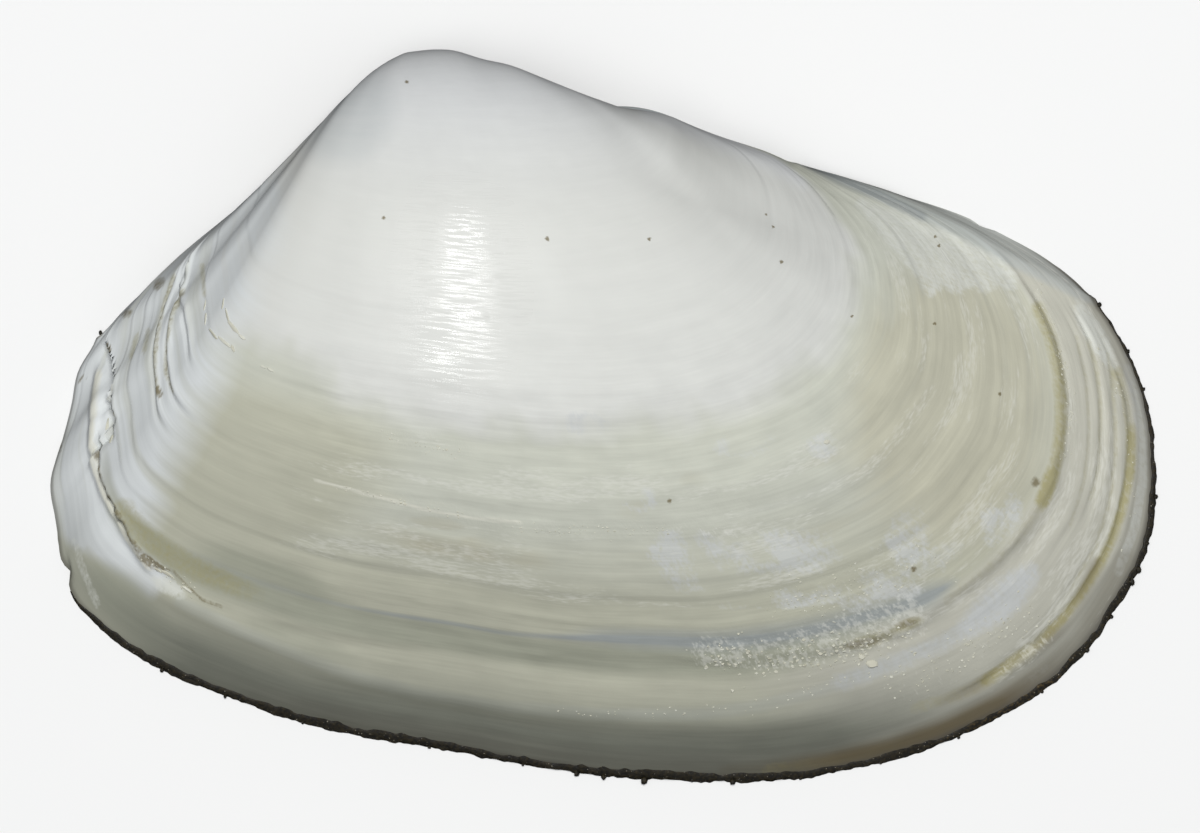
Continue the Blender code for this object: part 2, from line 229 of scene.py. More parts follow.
rim = rimOutline(valve["around"])
stages = np.concatenate([np.linspace(1, 0.84, 58, endpoint=False),
                         np.linspace(0.84, 0.40, 120, endpoint=False),
                         np.linspace(0.40, 0.19, 44, endpoint=False),
                         np.geomspace(0.19, valve["youngestStage"], 24)])
fullRings, halfRings = 178, 44
plain = plainMargins(rim, stages)
coilPlace = np.array([-(plain[:, :, 0].min() + plain[:, :, 0].max()) / 2,
                      cadHigh[1] - plain[:, :, 1].max(), 0])
plain += coilPlace
rimLength = np.linalg.norm(np.roll(rim, -1, axis=0) - rim, axis=1).sum()
alongMm = np.linspace(0, rimLength, valve["around"], endpoint=False)[None, :]
stageGrid = np.repeat(stages[:, None], valve["around"], axis=1)
print("grown in", len(stages), "stages, rim length", round(rimLength, 1), "mm, spans",
      plain.min(axis=(0, 1)).round(2), plain.max(axis=(0, 1)).round(2))

pixelX = plain[:, :, 0] / photo["mmPerPixel"] + photo["valveMiddleX"]
pixelY = photo["valveMiddleY"] - plain[:, :, 1] / photo["mmPerPixel"]
growthMm = stageGrid * valve["growthLength"]


def grown(low, high):
    # 0 before one stage of the growth, 1 after the other
    return smoothStep(low, high, stageGrid)


def alongNoise(mm, seed):
    return lineNoise(alongMm / mm, seed)


def shellNoise(acrossMm, lengthwiseMm, seed):
    # noise over the outside, by its sizes across and along the growth lines
    return sheetNoise(growthMm / acrossMm, alongMm / lengthwiseMm, seed)


def nearestPlace(x, y, rings=fullRings + halfRings):
    # ring and column of the place on the valve that is nearest to a pixel of the photograph
    far = (pixelX[:rings] - x) ** 2 + (pixelY[:rings] - y) ** 2
    return np.unravel_index(np.argmin(far), far.shape)


def growthLine(pixels, fadeColumns=10):
    # where a line drawn over the valve lies in its growth: a stage for each place round the rim,
    # and how much of the line is there, from 0 to 1
    found = []
    for x, y in pixels:
        ring, column = nearestPlace(x, y)
        found.append((column, stages[ring]))
    columns, lineStages = np.array(sorted(found)).T
    here = np.arange(valve["around"])
    stageHere = np.interp(here, columns, lineStages)
    share = smoothStep(columns[0] - fadeColumns, columns[0], here)
    share = share * (1 - smoothStep(columns[-1], columns[-1] + fadeColumns, here))
    return stageHere[None, :], share[None, :]


def pathShare(path, width, fade):
    # 1 on a line drawn over the photograph, 0 further from it than width and fade, all in its pixels
    nearest = np.full(pixelX.shape, 1e9)
    for (x0, y0), (x1, y1) in zip(path[:-1], path[1:]):
        runX, runY = x1 - x0, y1 - y0
        part = np.clip(((pixelX - x0) * runX + (pixelY - y0) * runY) / (runX ** 2 + runY ** 2), 0, 1)
        nearest = np.minimum(nearest, np.hypot(pixelX - x0 - part * runX, pixelY - y0 - part * runY))
    return 1 - smoothStep(width, width + fade, nearest)


def spotShare(x, y, radiusX, radiusY, turn=0):
    # 1 in the middle of a soft oval spot, 0 outside it; turn in degrees, clockwise in the photograph
    angle = math.radians(turn)
    awayX, awayY = pixelX - x, pixelY - y
    lengthwise = (awayX * math.cos(angle) + awayY * math.sin(angle)) / radiusX
    crosswise = (awayY * math.cos(angle) - awayX * math.sin(angle)) / radiusY
    return 1 - smoothStep(0.35, 1, np.hypot(lengthwise, crosswise))


def areaShare(corners, fade):
    # 1 inside an outline drawn over the photograph, fading to 0 over some pixels outside it
    within = np.zeros(pixelX.shape, dtype=bool)
    for (x0, y0), (x1, y1) in zip(corners, corners[1:] + corners[:1]):
        crosses = (y0 > pixelY) != (y1 > pixelY)
        if y0 != y1:
            within ^= crosses & (pixelX < x0 + (pixelY - y0) / (y1 - y0) * (x1 - x0))
    return np.maximum(within, pathShare(corners + corners[:1], 0, fade))


def drawn(*marks):
    # the sum of soft marks, 1 at most. A mark is its strength and then a path with width and fade,
    # an area with its fade, or a spot's middle, radii and turn
    total = 0
    for strength, first, *rest in marks:
        share = spotShare if not isinstance(first, list) else areaShare if len(rest) == 1 else pathShare
        total = total + strength * share(first, *rest)
    return np.clip(total, 0, 1)


lines = {name: growthLine(pixels) for name, pixels in growthLines.items()}
print("growth lines placed:", ", ".join(lines))

# Which end of the valve a place belongs to, by the place on the rim that it grew towards
towardsFront, belowAxis = rim[None, :, 0], -rim[None, :, 1]
offHinge = smoothStep(6, 15, belowAxis)
rearEnd = smoothStep(-4, -19, towardsFront)
frontEnd = smoothStep(28, 44, towardsFront)

# The outside's relief: heights in mm, stages and runs as shares of the full size, places in pixels
relief = {
    "bigStopLower": 0.16, "bigStopFront": 0.34, "bigStopRear": 0.95, "bigStopFade": 0.024,
    "bigStopLip": 0.20, "bigStopLipFade": 0.010, "bigStopRagged": 0.0010,
    "bigStopRun": 0.014, "bigStopRearRun": 0.003, "bigStopRearPlace": (14, 17, 33, 38),
    "rearLip": 0.26, "flakeScar": 0.16, "crestRise": 0.20, "crestWidth": 0.011,
    "rearRidgeRise": 0.15, "rearGrooveDepth": 0.13,
    "frontGrooves": {"frontGrooveA": 0.130, "frontGrooveB": 0.156, "frontGrooveC": 0.078,
                     "frontGrooveD": 0.091},
    "smallStops": [(0.500, 0.03), (0.605, 0.05), (0.700, 0.03), (0.798, 0.07), (0.835, 0.04)],
    "smallStopFade": 0.03, "lunuleRidge": 0.20,
    "cheekRise": 0.07, "cheekX": (432, 30), "cheekY": (110, 200, 400, 520),
    "frontWall": 0.80, "frontWallX": (612, 672, 755, 850),
    "frontWallAbove": (-40, -20, 4, 62), "frontWallStages": (0.25, 0.32, 0.62, 0.92),
    "broadWaves": 0.035, "fineLines": 0.007, "endLines": 0.006, "roughPatch": 0.05,
}
lunuleLine = [
    (800, 167), (840, 183), (880, 198), (920, 218), (960, 234), (1000, 258), (1030, 272), (1050, 283),
    (1085, 300)]
# the foot of the steep wall in front of the beak, which overhangs the hinge line a little
frontWallFoot = [
    (612, 110), (640, 117), (670, 133), (700, 144), (730, 153), (765, 163), (815, 179), (860, 194)]
roughPatchLine = [(705, 652), (760, 655), (820, 648), (880, 634), (915, 622)]
rearLipPath = [
    (99, 372), (96, 395), (94, 415), (93, 445), (95, 470), (102, 492), (110, 508), (120, 524), (129, 541),
    (140, 557), (150, 568)]

# the big stop: a ragged lip, then a step down to the younger growth
height = np.zeros_like(stageGrid)
stopStage, stopShare = lines["bigStop"]
ragged = alongNoise(1.3, 11) + 0.7 * alongNoise(0.5, 12)
pastStop = stageGrid - stopStage - relief["bigStopRagged"] * ragged * (1 + 2 * rearEnd)
rearStop = rearEnd * window(belowAxis, *relief["bigStopRearPlace"])
stopDrop = relief["bigStopLower"] + relief["bigStopFront"] * frontEnd + relief["bigStopRear"] * rearStop
stopDrop = stopDrop * stopShare * (0.8 + 0.35 * alongNoise(4, 13))
stopRun = relief["bigStopRun"] + (relief["bigStopRearRun"] - relief["bigStopRun"]) * rearStop
height -= stopDrop * np.exp(-np.abs(pastStop) / relief["bigStopFade"]) * smoothStep(0, stopRun, pastStop)
height += np.where(pastStop <= 0, relief["bigStopLip"] * stopDrop
                   * np.exp(-np.abs(pastStop) / relief["bigStopLipFade"]), 0)

# the crest, the worn ridges and the grooves
crestStage, crestShare = lines["lowerCrest"]
height += relief["crestRise"] * crestShare * bell(stageGrid, crestStage, relief["crestWidth"])
wobble = 0.0015 * alongNoise(1.2, 21)
for name in ("rearRidgeA", "rearRidgeB", "rearRidgeC"):
    ridgeStage, ridgeShare = lines[name]
    height += relief["rearRidgeRise"] * ridgeShare * bell(stageGrid, ridgeStage - 0.004 + wobble, 0.005)
    height -= relief["rearGrooveDepth"] * ridgeShare * bell(stageGrid, ridgeStage + 0.005 + wobble, 0.0035)
for name, depth in relief["frontGrooves"].items():
    grooveStage, grooveShare = lines[name]
    height -= depth * grooveShare * bell(stageGrid, grooveStage, 0.0032)
    height += 0.5 * depth * grooveShare * bell(stageGrid, grooveStage + 0.008, 0.0035)
for stop, drop in relief["smallStops"]:
    past = stageGrid - stop - 0.002 * alongNoise(6, 31)
    height -= np.where(past > 0, drop * offHinge * np.exp(-np.abs(past) / relief["smallStopFade"]), 0)
height += relief["lunuleRidge"] * pathShare(lunuleLine, 2, 14)
height += relief["rearLip"] * pathShare(rearLipPath, 1, 6)
height -= relief["flakeScar"] * spotShare(109, 430, 9, 17, 8)

# fuller forms: the dome's cheek and the wall in front of the beak
height += relief["cheekRise"] * bell(pixelX, *relief["cheekX"]) * window(pixelY, *relief["cheekY"]) \
    * grown(0.20, 0.28)
aboveFoot = pixelY - np.interp(pixelX, *np.array(frontWallFoot).T)
height += relief["frontWall"] * window(aboveFoot, *relief["frontWallAbove"]) \
    * window(pixelX, *relief["frontWallX"]) * window(stageGrid, *relief["frontWallStages"])

# waves and growth lines, from broad to fine, and the flaked patch
grownUp = offHinge * grown(0.42, 0.68) * (1 - 0.45 * rearEnd)
height += relief["broadWaves"] * grownUp * (shellNoise(2.2, 60, 41) + 0.6 * shellNoise(1, 40, 42))
fine = shellNoise(0.33, 16, 43) + 0.6 * shellNoise(0.7, 24, 44)
fineHeight = relief["fineLines"] * (1 + grown(0.60, 0.95)) \
    + relief["endLines"] * np.maximum(rearEnd, 0.6 * frontEnd) * grown(0.60, 0.90)
height += fine * fineHeight * grownUp
roughHere = pathShare(roughPatchLine, 8, 26)
height += relief["roughPatch"] * roughHere * shellNoise(0.35, 0.8, 45)
height *= 1 - grown(0.988, 1)

outward = outwardOf(plain)
places = plain + outward * height[:, :, None]

# Nicks and the broken corner in the edge itself, in mm: (pixel x, pixel y, depth, half width)
edgeNicks = [
    (70, 570, 0.42, 0.55), (982, 226, 0.20, 0.5), (100, 337, -0.16, 0.4), (57, 455, 0.12, 1.2),
    (1097, 302, -0.12, 0.4), (71, 385, 0.10, 1), (66, 582, 0.16, 0.8)]
inwardWay = np.stack([np.roll(rim[:, 1], -1) - np.roll(rim[:, 1], 1),
                      np.roll(rim[:, 0], 1) - np.roll(rim[:, 0], -1)], axis=1)
inwardWay /= np.linalg.norm(inwardWay, axis=1)[:, None]
nick = np.abs(0.035 * alongNoise(0.9, 51) + 0.05 * alongNoise(3.1, 52))[0] * offHinge[0]
for x, y, depth, halfWidth in edgeNicks:
    column = nearestPlace(x, y, 1)[1]
    nick += depth * bell(alongMm[0], alongMm[0, column], halfWidth)
places[:, :, :2] += inwardWay * nick[:, None] * grown(0.975, 1)[:, :, None]
print("relief from", round(height.min(), 2), "to", round(height.max(), 2), "mm")


def joinRings(faces, outer, inner):
    # faces between two rings of vertex numbers, the inner one with as many or half as many
    count = len(outer)
    if len(inner) == count:
        faces += [(outer[i], outer[(i + 1) % count], inner[(i + 1) % count], inner[i]) for i in range(count)]
        return
    half = len(inner)
    for k in range(half):
        i, j, m, n = 2 * k, 2 * k + 1, (2 * k + 2) % count, (k + 1) % half
        faces += [(outer[i], outer[j], inner[k]), (outer[j], inner[n], inner[k]),
                  (outer[j], outer[m], inner[n])]


def closeRing(faces, ring, tip):
    faces += [(ring[i], ring[(i + 1) % len(ring)], tip) for i in range(len(ring))]


def turnAngles(count):
    return np.linspace(0, 2 * math.pi, count, endpoint=False)


def addObject(name, data):
    item = bpy.data.objects.new(name, data)
    bpy.context.scene.collection.objects.link(item)
    return item


def makePiece(name, points, faces, materials, fieldValues=None, faceSlots=None, sharpAngle=70):
    # points in mm; fieldValues are named numbers, one for each point, that the materials read
    data = bpy.data.meshes.new(name)
    inMetres = (np.asarray(points) * 0.001).tolist()
    data.from_pydata(inMetres, [], [tuple(map(int, face)) for face in faces])
    data.update()
    mesh = bmesh.new()
    mesh.from_mesh(data)
    bmesh.ops.recalc_face_normals(mesh, faces=mesh.faces)
    mesh.to_mesh(data)
    mesh.free()
    for fieldName, values in (fieldValues or {}).items():
        field = data.attributes.new(fieldName, "FLOAT", "POINT")
        field.data.foreach_set("value", np.asarray(values, dtype=np.float32))
    for material in materials:
        data.materials.append(material)
    if faceSlots is not None:
        data.polygons.foreach_set("material_index", np.asarray(faceSlots, dtype=np.int32))
    data.shade_smooth()
    data.set_sharp_from_angle(angle=math.radians(sharpAngle))
    piece = addObject(name, data)
    print(name, "made,", len(data.vertices), "points,", sum(len(face) - 2 for face in faces), "triangles")
    return piece


def outsideTree():
    # the outside without its relief, as a surface that a plumb line can be dropped on
    coarse = plain[::3, ::2]
    rings, count = coarse.shape[:2]
    numbers = np.arange(rings * count).reshape(rings, count)
    faces = []
    for outer, inner in zip(numbers[:-1], numbers[1:]):
        joinRings(faces, outer, inner)
    return BVHTree.FromPolygons(coarse.reshape(-1, 3).tolist(), [tuple(map(int, face)) for face in faces])


# The inside can't be seen in the photograph. It has what this kind of clam has: the line along which
# the mantle was fixed, with its pocket at the rear, and the scars of the two closing muscles.
inside = {
    "wallRings": (4, 6), "bowlRings": 28,
    "mantleLine": 0.84, "mantleLineWidth": 0.022, "mantleLineDepth": 0.10,
    "pocketDepth": 0.40, "pocketPlace": (-19, -28), "pocketReach": 9,
    "scars": [(-12.5, -15.5, 4.4, 3.6), (35.5, -17.5, 3.8, 5)],  # from the coil axis: x, y, radii
    "scarDepth": 0.14,
    "pit": (-1.3, -4.2, 1.7, 1.25, 0.8),  # from the coil axis: x, y, radii, depth
}


def insideSurface():
    # rings of the inside from the flat rim to the bowl's middle, with the fields that its material reads
    tree = outsideTree()

    def bowlHeight(x, y, fromRim):
        place, normal, _, _ = tree.ray_cast(Vector((x, y, 100)), Vector((0, 0, -1)))
        thicker = smoothStep(0, valve["wallTaper"], fromRim)
        wall = valve["rimWall"] + (valve["wall"] - valve["rimWall"]) * thicker
        lean = max(abs(normal.z), valve["leastLean"])
        return place.z - min(wall / lean, valve["mostWallShare"] * place.z)

    edge = fitHingeLine(rim) + coilPlace[:2] + inwardWay * valve["rimWidth"]
    middle = np.array(valve["bowlMiddle"]) + coilPlace[:2]
    inward = middle - edge
    reach = np.linalg.norm(inward, axis=1)
    inward /= reach[:, None]
    nearHinge = bell(rim[:, 0], valve["hingePlateMiddle"], valve["hingePlateSpread"])
    nearHinge = nearHinge * smoothStep(-14, -8, rim[:, 1])
    plate = valve["hingePlateWidth"] * nearHinge
    plateShare = smoothStep(0.04, 0.60, nearHinge)
    step, wallRun = valve["plateStep"], valve["bowlWallRun"]
    knots = [(np.full_like(plate, 0.5 * step), 1), (np.full_like(plate, step), 1)]
    onPlate, onWall = inside["wallRings"]
    for part in np.linspace(0, 1, onPlate + 1)[1:]:
        knots.append((step + (plate + step) * part, 1))
    for part in np.linspace(0, 1, onWall + 1)[1:]:
        knots.append((plate + 2 * step + wallRun * part, 1 - smoothStep(0, 1, part)))
    rings = [np.column_stack([edge, np.zeros(len(edge))])]
    shares, marks = [np.ones(len(edge))], [np.zeros(len(edge))]
    pocket = bell(np.hypot(*(rim - np.array(inside["pocketPlace"])).T), 0, inside["pocketReach"])
    mantleLine = inside["mantleLine"] - inside["pocketDepth"] * pocket

    def addBowlRing(flat, fromRim, plateHold, share, step=2):
        heights = np.array([bowlHeight(x, y, far) for (x, y), far in zip(flat, fromRim)])
        held = np.minimum(heights, valve["hingePlateRecess"])
        heights = heights + (held - heights) * plateHold
        fromCoil = flat - coilPlace[:2]
        pitX, pitY, radiusX, radiusY, depth = inside["pit"]
        inPit = 1 - ((fromCoil[:, 0] - pitX) / radiusX) ** 2 - ((fromCoil[:, 1] - pitY) / radiusY) ** 2
        heights = heights + depth * np.sqrt(np.clip(inPit, 0, 1))
        line = bell(share, mantleLine, inside["mantleLineWidth"]) * (1 - smoothStep(0.98, 1, share))
        scar = np.zeros(len(flat))
        for x, y, radiusX, radiusY in inside["scars"]:
            away = np.hypot((fromCoil[:, 0] - x) / radiusX, (fromCoil[:, 1] - y) / radiusY)
            scar = np.maximum(scar, 1 - smoothStep(0.88, 1, away))
        heights = heights + inside["mantleLineDepth"] * line + inside["scarDepth"] * scar
        rings.append(np.column_stack([flat, heights])[::step])
        shares.append(np.full(len(flat), share)[::step])
        marks.append(np.maximum(0.7 * line, scar)[::step])

    for fromEdge, hold in knots:
        flat = edge + inward * fromEdge[:, None]
        addBowlRing(flat, valve["rimWidth"] + fromEdge, plateShare * hold, 1, 1)
    bowlEdge = edge + inward * knots[-1][0][:, None]
    for share in np.linspace(1, 0, inside["bowlRings"] + 1)[1:-1]:
        flat = middle + (bowlEdge - middle) * share
        addBowlRing(flat, reach - np.linalg.norm(flat - middle, axis=1), 0, share)
    top = (*middle, bowlHeight(*middle, reach.min()))
    return rings, shares, marks, top


# Where the outside is stained, worn or dirty, and where shade and highlights are painted into its colour:
# 0 to 1 for every point, drawn over the photograph's pixels; some are drawn along the growth lines
goldenGrooves = [(share, growthLines["frontGroove" + letter], width, fade) for letter, share, width, fade in
                 (("A", 0.45, 1, 5), ("B", 0.60, 2, 7), ("C", 0.40, 0.5, 5), ("D", 0.45, 0.5, 5))]
bigStop = growthLines["bigStop"]
frontStopPath = bigStop[31:44]
frontGlintPath = [(1036, 292), (1052, 322), (1064, 355), (1070, 390), (1070, 420), (1066, 450)]
rearCrackPath = bigStop[:22]
rearStainPath = [(126, 510), (142, 532), (168, 552), (200, 570), (245, 588), (285, 600)]
goldEdgePath = [(1132, 430), (1131, 470), (1122, 505), (1108, 545), (1088, 582), (1060, 622), (1040, 645)]
olderRearArea = [
    (246, 200), (232, 245), (210, 300), (190, 350), (170, 395), (150, 430), (134, 455), (122, 484),
    (112, 498), (99, 462), (104, 440), (117, 415), (107, 400), (116, 380), (110, 350), (140, 290),
    (190, 235)]
newerRearArea = [
    (107, 345), (116, 380), (107, 400), (115, 420), (98, 455), (104, 490), (120, 522), (140, 552),
    (165, 575), (150, 590), (118, 566), (92, 540), (70, 534), (52, 515), (46, 480), (55, 440), (66, 405),
    (74, 370), (92, 345)]
thinGlintPath = [(318, 480), (345, 487), (380, 496), (424, 508), (468, 516), (523, 522)]
hingeShadePath = [(590, 99), (640, 109), (700, 127), (760, 149), (830, 173)]
# painted light: a lighter strip under the hinge, offsetting the shade of the steep wall in front of the beak
hingeLightPath = [(650, 116), (700, 138), (760, 160), (800, 176)]
beakShadePath = [(602, 98), (628, 105), (648, 112), (664, 118)]
lunuleArea = [
    (820, 172), (880, 200), (920, 218), (960, 237), (1000, 259), (1030, 273), (1060, 288), (1085, 300),
    (1100, 300), (1080, 275), (1040, 248), (1000, 226), (960, 208), (900, 188)]
tongueArea = [
    (860, 205), (905, 222), (950, 240), (992, 262), (1010, 276), (1012, 286), (998, 282), (985, 288),
    (970, 282), (955, 290), (940, 282), (930, 292), (915, 270), (890, 240)]
crestPath = [
    (180, 600), (240, 630), (300, 655), (360, 677), (420, 692), (500, 705), (600, 713), (700, 713),
    (760, 705), (820, 690), (880, 668), (940, 643), (985, 612), (1022, 578)]
outerBluePath = [(1030, 572), (1008, 598), (980, 620), (940, 645), (890, 665), (840, 682)]
rustPath = [
    (730, 776), (770, 772), (830, 765), (890, 751), (950, 729), (1000, 704), (1046, 674), (1082, 642),
    (1106, 600), (1124, 560)]
groovedRustPath = [(1098, 566), (1080, 600), (1058, 630), (1030, 654), (1000, 676), (960, 693), (915, 708)]
rearRimPath = [(74, 540), (84, 572), (98, 606)]
paleRidgePath = [(1122, 330), (1138, 380), (1143, 430), (1143, 480), (1134, 530), (1118, 572)]
tanPaths = [[(330, 474), (400, 490), (470, 501), (560, 506), (640, 510)],
            [(330, 418), (420, 438), (520, 452)], [(360, 528), (480, 552), (560, 560), (650, 562)],
            [(560, 440), (640, 444), (720, 440)], [(690, 478), (760, 470), (830, 452)],
            [(800, 540), (860, 520), (900, 496)]]
rearDirtPaths = [[(176, 276), (166, 305), (159, 338), (157, 368), (161, 396)],
                 [(186, 292), (174, 315), (169, 345), (168, 372), (176, 392)], [(204, 266), (207, 296)],
                 [(138, 335), (132, 358)], [(150, 330), (146, 352)]]
palePatches = [
    (640, 498, 28, 24, 0), (915, 510, 56, 60, 0), (850, 575, 110, 42, -18), (822, 448, 30, 24, 0),
    (680, 548, 60, 34, 0), (780, 548, 90, 34, -8), (742, 446, 56, 20, -8), (700, 580, 60, 24, 0),
    (1000, 520, 34, 50, 20), (585, 425, 40, 22, 0), (900, 590, 80, 20, -24), (760, 600, 90, 14, -4)]
dirtSpots = [
    (160, 284, 9, 13, 40), (128, 313, 10, 7, -40), (110, 349, 6, 8, 0), (163, 393, 6, 7, 0),
    (150, 562, 24, 7, 32), (906, 622, 20, 8, -18), (80, 379, 12, 4, -20), (60, 445, 3, 14, 0),
    (101, 336, 6, 4, 0), (862, 643, 36, 8, -12), (1034, 482, 8, 10, 20)]
# painted shade: the grey band on the downward side of the step at the growth check
greyStage, greyShare = lines["shadedStepBand"]
greyWide = 1 - window(towardsFront, -10, -3, 10, 20)
shadedStepBand = 0.8 * (bell(stageGrid, greyStage, 0.015) * greyWide + bell(stageGrid, greyStage + 0.002, 0.0035))
lowerEnd = smoothStep(24, 38, belowAxis)
tornEdge = 0.010 * sheetNoise(alongMm / 5, growthMm / 2, 61)
tornEdge = tornEdge + 0.006 * sheetNoise(alongMm / 1.6, growthMm, 62)
rustNoise = 0.44 + 0.40 * sheetNoise(alongMm / 2.2, growthMm / 0.6, 68)
clusters = smoothStep(-0.9, 1.2, shellNoise(0.7, 9, 63) + 0.7 * shellNoise(0.35, 3.5, 64))
paint = {
    "growth": growthMm,
    "along": np.repeat(alongMm, len(stages), axis=0),
    # the young shell's whiter colour, and painted light along the strip under the hinge
    "youngAndHingeLight": np.maximum(1 - grown(0.22, 0.42), drawn((0.9, hingeLightPath, 6, 18))),
    "lined": (0.20 + 0.80 * grown(0.46, 0.70)) * (1 - 0.55 * rearEnd),
    "striated": grown(0.33, 0.36) * spotShare(462, 290, 100, 170),
    "cream": smoothStep(0.570, 0.660, stageGrid + 1.5 * tornEdge + 0.05 * spotShare(270, 370, 100, 80))
    * smoothStep(2.5, 8, belowAxis),
    "olive": np.maximum(grown(0.68, 0.84) * lowerEnd, grown(0.58, 0.66) * spotShare(270, 470, 190, 150, -35)),
    "beige": spotShare(950, 400, 160, 200) * (1 - grown(0.864, 0.876))
    * smoothStep(0.56, 0.68, stageGrid + 2 * tornEdge),
    "strip": grown(0.862, 0.880) * smoothStep(22, 36, towardsFront),
    "blue": drawn((0.9, olderRearArea, 84), (0.7, newerRearArea, 18))
    * (0.90 + 0.45 * shellNoise(0.8, 12, 67)),
    # painted shade: the steep lunule strip, the umbo's left slope and the hinge's edge; also a faint
    # bluish-grey line along the crest
    "shadeGrey": drawn((0.55, lunuleArea, 8), (0.30, crestPath, 2, 10), (0.40, 345, 115, 80, 75, -30),
                  (0.20 * grown(0.80, 0.90), hingeShadePath, 2, 14)),
    "bloom": drawn((0.70, outerBluePath, 1.5, 19), (0.6, 1000, 600, 60, 34, -40),
                   (0.5, 930, 560, 60, 20, -25), (0.6, 1131, 400, 13, 60, -8)),
    "tan": drawn(*((1, path, 0, 24) for path in tanPaths), (1.3, 440, 522, 44, 8, 8),
                 (0.8, 482, 545, 30, 14))
    * (0.45 + 0.45 * shellNoise(1.1, 8, 66)),
    "rust": np.maximum(
        pathShare(rustPath, 4, 18) * grown(0.91, 0.985) * (0.3 + 0.7 * spotShare(915, 750, 200, 110, -30)),
        pathShare(groovedRustPath, 1, 13) * smoothStep(900, 1000, pixelX) * rustNoise),
    # painted shade: the band under the growth check, the dip beside the beak and a soft dark line below the
    # lunule's ridge
    "shadeLine": np.clip(
        greyShare * (0.25 + 0.75 * smoothStep(290, 420, pixelX)) * shadedStepBand
        + pathShare(beakShadePath, 4, 8) * grown(0.70, 0.80) + 0.8 * pathShare(lunuleLine[:4], 1, 9),
        0, 1),
    # painted shade on the downward side of the big stop's valley, and three soft spots of the same colour at
    # the lower rear
    "valley": np.maximum(window(stageGrid, 0.850, 0.868, 0.882, 0.905) * lowerEnd * (1 - frontEnd),
                         drawn((0.9, 126, 604, 80, 34, 42), (0.8, 275, 580, 120, 30, 22),
                               (0.5, 300, 640, 90, 20, 22))),
    "lowBand": grown(0.896, 0.962) * lowerEnd * (1 - 0.75 * frontEnd)
    * (0.55 + 0.45 * smoothStep(-21, -14, towardsFront)),
    "edge": (0.40 * grown(0.952, 0.986) * (1 - rearEnd) + 0.60 * grown(0.987, 0.997))
    * smoothStep(8.5, 12, belowAxis),
    "pale": drawn(*((1, *patch) for patch in palePatches)) * (0.65 + 0.5 * shellNoise(0.9, 1.8, 65)),
    "white": drawn((0.85, tongueArea, 14), (0.6, rearRimPath, 1, 8), (1, 1095, 335, 16, 60, -30),
                   (1, 170, 586, 30, 12, 25), (0.5, 1036, 676, 30, 9, -38), (0.9, paleRidgePath, 3, 5),
                   (0.15, growthLines["lowerCrest"], 1, 5)),
    "gold": drawn(*((0.60, path, 0.5, 5) for path in rearDirtPaths),
                  (0.75, frontStopPath[5:], 3, 10), (0.35, frontStopPath[:7], 2, 12),
                  (0.60 * (1 - 0.9 * smoothStep(215, 300, pixelX)), rearStainPath, 4, 18),
                  (0.70, 870, 640, 40, 12, -14), (0.75, 907, 624, 26, 10, -18),
                  (0.50, rustPath[1:6], 4, 12), (0.40, groovedRustPath[3:], 2, 12),
                  (0.40, goldEdgePath, 1, 6), *goldenGrooves),
    # the pale lip at the rear crack and the flake scar, with painted highlights: glint lines along the front
    # groove and across the cream zone
    "lip": drawn((0.9, rearLipPath, 0.5, 5), (0.5, 109, 430, 9, 17, 8), (0.5, frontGlintPath, 1, 5),
                 (0.9, thinGlintPath, 0.4, 3.2)),
    # dirt spots and stains, with painted shadow in the rear crack under the overhanging older layer, and a
    # darker line along the step at the front
    "dirtAndShadow": drawn(*((0.8, *spot) for spot in dirtSpots),
                  *((0.50, path, 0.5, 5) for path in rearDirtPaths[:2]),
                  (0.50, rearCrackPath[:9], 0.5, 4), (0.75, rearCrackPath[8:17], 0.5, 4.5),
                  (0.70, rearCrackPath[16:], 0.2, 3.5), (0.25, frontStopPath, 0.5, 6)),
    "worn": drawn((1, roughPatchLine, 8, 26), (0.7, frontGlintPath, 4, 8), (0.6, 760, 520, 120, 40),
                  (0.7, 960, 662, 150, 46, -26), (0.75, 870, 585, 150, 50, -18), (0.6, 600, 528, 190, 14, 2),
                  (0.5, 430, 442, 70, 16, 12), (0.5, 420, 505, 110, 16, 12), (0.6, 1030, 655, 64, 16, -38)),
}
noFront = 1 - frontEnd
# painted highlights: silvery flecks as glints along the growth lines
paint["glintFlecks"] = grown(0.58, 0.66) * (0.35 + 0.65 * clusters) * (1 - 0.8 * rearEnd) \
    * (1 - 0.8 * grown(0.80, 0.84) * noFront) * (1 - 0.7 * grown(0.93, 0.95) * noFront) \
    * (1 - 0.9 * paint["rust"])


